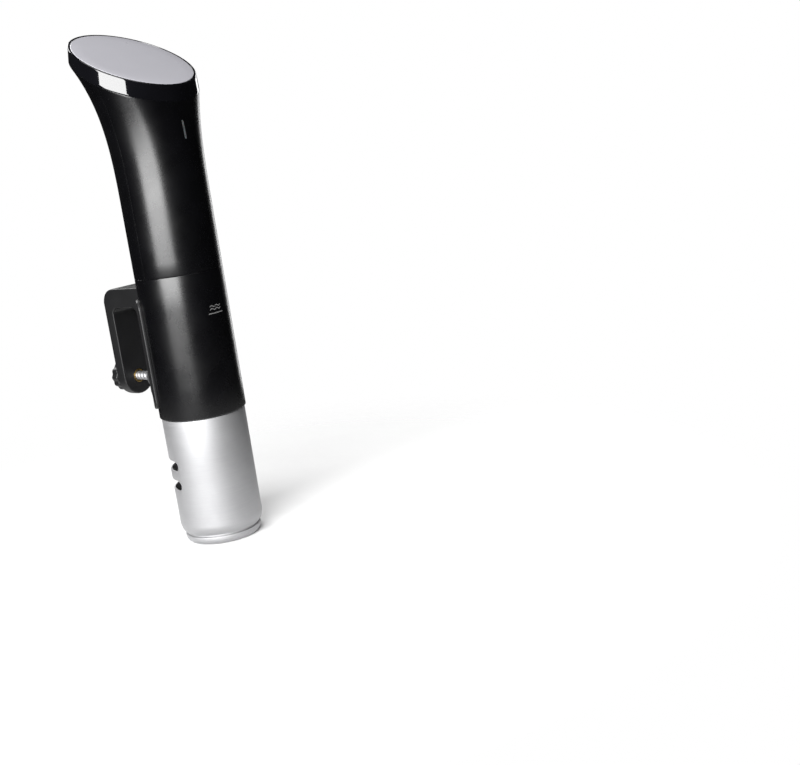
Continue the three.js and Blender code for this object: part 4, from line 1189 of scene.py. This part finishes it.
def clamp_knob():
    """A fluted knob with a dished outer face."""
    near, far, radius = KNOB_LOW.y, KNOB_HIGH.y, KNOB_HIGH.x
    face_r, flutes, flute_depth = 7.6, 12, 0.8
    outline = rounded([
        (0, near + 4.2), (TIP_R, near + 4.2, 0.2), (TIP_R, near, 0.3), (5.5, near, 0.4),
        (6, near + 0.6, 0.4), (8.6, near + 0.6, 0.5), (radius, near + 1.6, 0.6),
        (radius, far, 1.3), (face_r, far, 0.5), (7.2, far - 0.9, 0.6), (0, far - 0.9),
    ], 6)

    def fluted(angle, reach):
        depth = flute_depth * max(0, reach - face_r) / (radius - face_r)
        return reach - depth * (1 - cos(flutes * angle)) / 2

    return lathe(outline, 240, along_y(0, SCREW_Z), fluted)


def make_clamp():
    stand_in(clamp_bracket(), "clamp_bracket", 45)
    stand_in(grip_pad(), "grip_pad", 50)
    length = BRACKET_SEAT_Y - 24
    for place, height in zip(("lower", "upper"), BRACKET_SCREW_HEIGHTS):
        screw(f"bracket_screw_{place}", length, along_y(0, height, BRACKET_SEAT_Y))
    nut = hoop(TIP_R, NUT_HIGH.x, NUT_LOW.y, NUT_HIGH.y, 0.3, 96, along_y(0, SCREW_Z))
    stand_in(nut, "clamp_nut")
    stand_in(clamp_screw(), "clamp_screw", 40)
    stand_in(clamp_pad(), "clamp_pad")
    stand_in(clamp_knob(), "clamp_knob", 40)


# ---------------------------------------------------------------- inner pieces

SHAFT_HOLE_R = 1.8
HOLE_ROOM = 5                              # a cutting tool stands out this far past the piece
MOTOR_SCREW_X = 9.5


def ring_piece(node, inner, edge=0.3):
    """A plain ring that fills its node's box, with rounded edges."""
    low, high, outer = upright_span(node)
    stand_in(hoop(inner, outer, low, high, edge), node)


def seal_ring(node):
    """A rubber ring of round section."""
    low, high, outer = upright_span(node)
    half = 0.8
    turns = [2 * pi * i / 24 for i in range(24)]
    middle = (low + high) / 2
    outline = [(outer - half + half * cos(turn), middle + half * sin(turn)) for turn in turns]
    stand_in(lathe(outline, FINE), node, 60)


def bulkhead():
    """The moulded wall over the water space, with a hole for each thing that passes it."""
    low, high, outer = upright_span("bulkhead")
    plug = BORE_R - FIT
    shoulder = SLEEVE_LOW.z - FIT
    groove, cup_r, floor = 91, 20, low + 8
    item = turned([
        (0, low), (outer, low, 0.5), (outer, shoulder, 0.2), (plug, shoulder),
        *groove_at(plug, groove), (plug, high, 0.6), (cup_r, high, 0.6),
        (cup_r, floor, 1.2), (0, floor),
    ], FINE)
    heater_hole = HEATER_TUBE_R + FIT
    places = [(5, 0, 0), (heater_hole, HEATER_COIL_R, 0), (heater_hole, HEATER_LEG_R, 0)]
    places += [(radius + FIT, *probe_place(angle)) for radius, angle, _ in PROBES.values()]
    holes = [upright_rod(radius, low - HOLE_ROOM, high + HOLE_ROOM, x, y)
             for radius, x, y in places]
    return cut(item, *holes)


def shaft_seal():
    """A lip seal, hollow above its lip."""
    low, high, outer = upright_span("shaft_seal")
    return turned([
        (SHAFT_HOLE_R, low, 0.2), (outer, low, 0.3), (outer, high, 0.3), (3.2, high, 0.2),
        (3.2, low + 2, 0.4), (SHAFT_HOLE_R, low + 2, 0.2),
    ])


def ball_bearing(node):
    """Two races with a sunk shield on each side."""
    low, high, outer = upright_span(node)
    sunk, hub, rim = 0.4, 3, outer - 1.2
    stand_in(turned([
        (SHAFT_HOLE_R, low, 0.15), (hub, low, 0.1), (hub, low + sunk), (rim, low + sunk),
        (rim, low, 0.1), (outer, low, 0.25), (outer, high, 0.25), (rim, high, 0.1),
        (rim, high - sunk), (hub, high - sunk), (hub, high, 0.1), (SHAFT_HOLE_R, high, 0.15),
    ], 96, None, 3), node)


def motor_screw_holes(low, high):
    return [upright_rod(1.45, low - HOLE_ROOM, high + HOLE_ROOM, side * MOTOR_SCREW_X, 0, 32)
            for side in (-1, 1)]


def motor_can():
    """A drawn can with a rolled top edge and two tapped holes in its foot."""
    low, high, outer = upright_span("motor_can")
    hole, wall, end = 5.8, 1, 3
    can = turned([
        (hole, low, 0.3), (outer, low, 0.8), (outer, high, 1.6), (hole, high, 0.3),
        (hole, high - end, 0.2), (outer - wall, high - end, 0.6), (outer - wall, low + end, 0.6),
        (hole, low + end, 0.2),
    ], 128)
    return cut(can, *motor_screw_holes(low, low))


def motor_mount():
    """The plate under the motor, notched for the wires."""
    low, high = span("motor_mount")
    notches = [
        block((-4, side * 20 - 3, low.z - HOLE_ROOM), (4, side * 20 + 3, high.z + HOLE_ROOM))
        for side in (-1, 1)
    ]
    plate = hoop(7, high.y, low.z, high.z, 0.3, 128)
    return bevelled(cut(plate, *motor_screw_holes(low.z, high.z), *notches), 0.12, 2)


def motor_rotor():
    """A laminated core with five winding slots."""
    low, high, _ = upright_span("motor_rotor")
    outer, count = 10.6, 5
    slots = [upright_rod(2, low - HOLE_ROOM, high + HOLE_ROOM,
                         *polar(outer, 2 * pi * i / count), 32) for i in range(count)]
    return cut(hoop(SHAFT_HOLE_R, outer, low, high, 0.3, 120), *slots)


def drive_shaft():
    """A ground steel shaft with bevelled tips."""
    low, high, radius = upright_span("drive_shaft")
    tip = 0.5
    return turned([
        (0, low), (radius - tip, low, 0.15), (radius, low + tip, 0.2), (radius, high - tip, 0.2),
        (radius - tip, high, 0.15), (0, high),
    ], 48, None, 3)


def cooling_fan():
    """Seven pitched blades on a hub."""
    low, high, _ = upright_span("cooling_fan")
    middle = (low + high) / 2
    hub = hoop(SHAFT_HOLE_R, 4.6, middle - 3, middle + 3, 0.4)
    count, pitch = 7, radians(38)
    blades = []
    for i in range(count):
        turn = Matrix.Rotation(2 * pi * i / count, 4, "Z") @ Matrix.Translation((0, 0, middle))
        turn = turn @ Matrix.Rotation(pitch, 4, "X")
        blades.append(block((3.8, -3.9, -0.45), (18.4, 3.9, 0.45), 0.35, turn))
    return joined(hub, *blades)


def capacitor():
    """A can on its side, with a crimped neck and a scored end."""
    low, high = span("filter_capacitor")
    radius = (high.z - low.z) / 2
    length = high.x - low.x
    middle = (low + high) / 2
    turn = Matrix.Translation((low.x, middle.y, middle.z)) @ Matrix.Rotation(pi / 2, 4, "Y")
    can = turned([
        (0, 0), (radius, 0, 0.7), (radius, length - 3.2, 0.3), (radius - 0.5, length - 2.6, 0.3),
        (radius, length - 2, 0.3), (radius, length, 0.3), (0, length),
    ], 64, turn)
    reach, half, depth = radius - 1, 0.2, 0.25
    scores = [
        block((-along, -across, -1), (along, across, depth), 0, turn)
        for along, across in ((reach, half), (half, reach))
    ]
    return cut(can, *scores)


def transformer():
    """Two yokes of stacked plates with a wound bobbin between them."""
    low, high = span("transformer")
    yoke_h = 6
    yokes = [
        block(low, (high.x, high.y, low.z + yoke_h), 0.4),
        block((low.x, low.y, high.z - yoke_h), high, 0.4),
    ]
    bobbin = block((low.x + 2, low.y + 2, low.z + 5), (high.x - 1, high.y - 2, high.z - 5), 1.5)
    return joined(bobbin, *yokes)


def heat_sink():
    """An extruded comb of six fins."""
    low, high = span("heat_sink")
    base = block(low, (low.x + 2, high.y, high.z))
    count, spacing, half = 6, 4.4, 0.7
    fins = []
    for i in range(count):
        y = (i - (count - 1) / 2) * spacing
        fins.append(block((low.x + 1, y - half, low.z), (high.x, y + half, high.z)))
    return bevelled(joined(base, *fins), 0.25)


BOARD_HOLE_R = 1.6


def main_board():
    """The upright board, with holes in its corners."""
    low, high = span("main_board")
    inset = 3
    holes = []
    for y in (low.y + inset, high.y - inset):
        for z in (low.z + inset, high.z - inset):
            turn = Matrix.Translation((low.x, y, z)) @ Matrix.Rotation(pi / 2, 4, "Y")
            holes.append(rod(BOARD_HOLE_R, -HOLE_ROOM, HOLE_ROOM, turn, 32))
    return bevelled(cut(block(low, high), *holes), 0.1, 2)


def display_board():
    """The round board under the window, with three fixing holes."""
    shift, radius, inset = -3.3, 34, 4
    low, high = BOARD_TOP - BOARD_T, BOARD_TOP
    board = turned([(0, low), (radius, low, 0.15), (radius, high, 0.15), (0, high)],
                   160, HEAD @ Matrix.Translation((0, shift, 0)))
    holes = []
    for degrees in (90, 210, 330):
        x, y = polar(radius - inset, radians(degrees))
        place = HEAD @ Matrix.Translation((x, shift + y, 0))
        holes.append(rod(BOARD_HOLE_R, low - HOLE_ROOM, low + HOLE_ROOM, place, 32))
    return cut(board, *holes)


def buzzer():
    """A round can with a sound hole, under the board."""
    top = BOARD_TOP - BOARD_T - FIT
    low = top - 5
    return turned([
        (0, low + 2), (1.2, low + 2), (1.2, low, 0.2), (6, low, 0.6), (6, top, 0.2), (0, top),
    ], 96, HEAD @ Matrix.Translation((14, 12, 0)))


def make_inner_pieces():
    seal_ring("sleeve_seal_ring")
    seal_ring("bulkhead_seal_ring")
    ring_piece("shaft_bush", SHAFT_HOLE_R)
    ring_piece("stator_ring", 11, 0.4)
    ball_bearing("motor_bearing_lower")
    ball_bearing("motor_bearing_upper")
    stand_in(block(*span("power_relay"), 0.6), "power_relay")
    stand_in(capacitor(), "filter_capacitor")
    for build in (bulkhead, shaft_seal, motor_can, motor_mount, motor_rotor, drive_shaft,
                  cooling_fan, transformer, heat_sink, main_board, display_board, buzzer):
        stand_in(build(), build.__name__)
    foot = span("motor_mount")[0].z - FIT
    for side, name in ((-1, "left"), (1, "right")):
        turn = Matrix.Translation((side * MOTOR_SCREW_X, 0, foot)) @ Matrix.Rotation(pi, 4, "X")
        screw(f"motor_screw_{name}", 5.6, turn, 1.1, 2.2)


# ------------------------------------------------------------ the other pieces

def dress_cad_nodes():
    """Gives every CAD node the finish of its slot."""
    for name, item in frame["nodes"].items():
        item.data.materials.clear()
        item.data.materials.append(LOOKS[SLOTS[name]])


# ------------------------------------------------------------ floor and lights

def pale_floor():
    """A round pale floor that fades into the background at its rim."""
    rings = [circle(radius, 0, 96) for radius in (150, 400, 800)]
    points, faces = stitch(rings, False)
    floor = made(points[:-1], [f for f in faces if len(points) - 1 not in f])
    floor.name = "floor"
    look = Look("floor_paint", Roughness=0.6, Specular_IOR_Level=0.1)
    look.color(look.blend(look.noise(9, 3), grey(0.80), grey(0.83)))
    distance = look.node("ShaderNodeVectorMath", operation="LENGTH")
    look.link(look.place, distance.inputs[0])
    fade = look.ramp(distance.outputs["Value"], 1, 0, 0.08, 0.36)
    look.link(fade, look.shader.inputs["Alpha"])
    floor.data.materials.append(look.material)


def soft_light(name, azimuth, elevation, distance, size, power):
    """An area light that faces the object's middle, in degrees, metres and watts."""
    data = bpy.data.lights.new(name, "AREA")
    data.shape = "RECTANGLE"
    data.size, data.size_y = size
    data.energy = power
    light = bpy.data.objects.new(name, data)
    bpy.context.scene.collection.objects.link(light)
    away = direction(radians(azimuth), radians(elevation))
    light.location = Vector((0, 0, MIDDLE_Z)) + away * distance
    light.rotation_euler = away.to_track_quat("Z", "Y").to_euler()
    light.visible_camera = False


def white_background(dim):
    """White behind the object, and dim in what it reflects."""
    world = bpy.data.worlds.new("studio")
    bpy.context.scene.world = world
    world.use_nodes = True
    tree = world.node_tree
    background = tree.nodes["Background"]
    background.inputs["Color"].default_value = (1, 1, 1, 1)
    path = tree.nodes.new("ShaderNodeLightPath")
    strength = tree.nodes.new("ShaderNodeMapRange")
    strength.inputs["To Min"].default_value = dim
    strength.inputs["To Max"].default_value = 1.0
    tree.links.new(path.outputs["Is Camera Ray"], strength.inputs["Value"])
    tree.links.new(strength.outputs["Result"], background.inputs["Strength"])


def make_studio():
    pale_floor()
    white_background(0.01)
    soft_light("key", -69.5, 14, 1.3, (1.18, 0.9), 57)
    soft_light("rim", 112, 8, 1.4, (0.3, 1.2), 3.5)
    soft_light("top", 0, 85, 1.4, (1.2, 1.2), 12)
    soft_light("fill", 165, 35, 1.5, (0.9, 0.9), 12)
    bpy.context.scene.view_settings.view_transform = "Standard"


dress_cad_nodes()
make_head()
make_upper_body()
make_sleeve()
make_wet_end()
make_clamp()
make_inner_pieces()
make_studio()
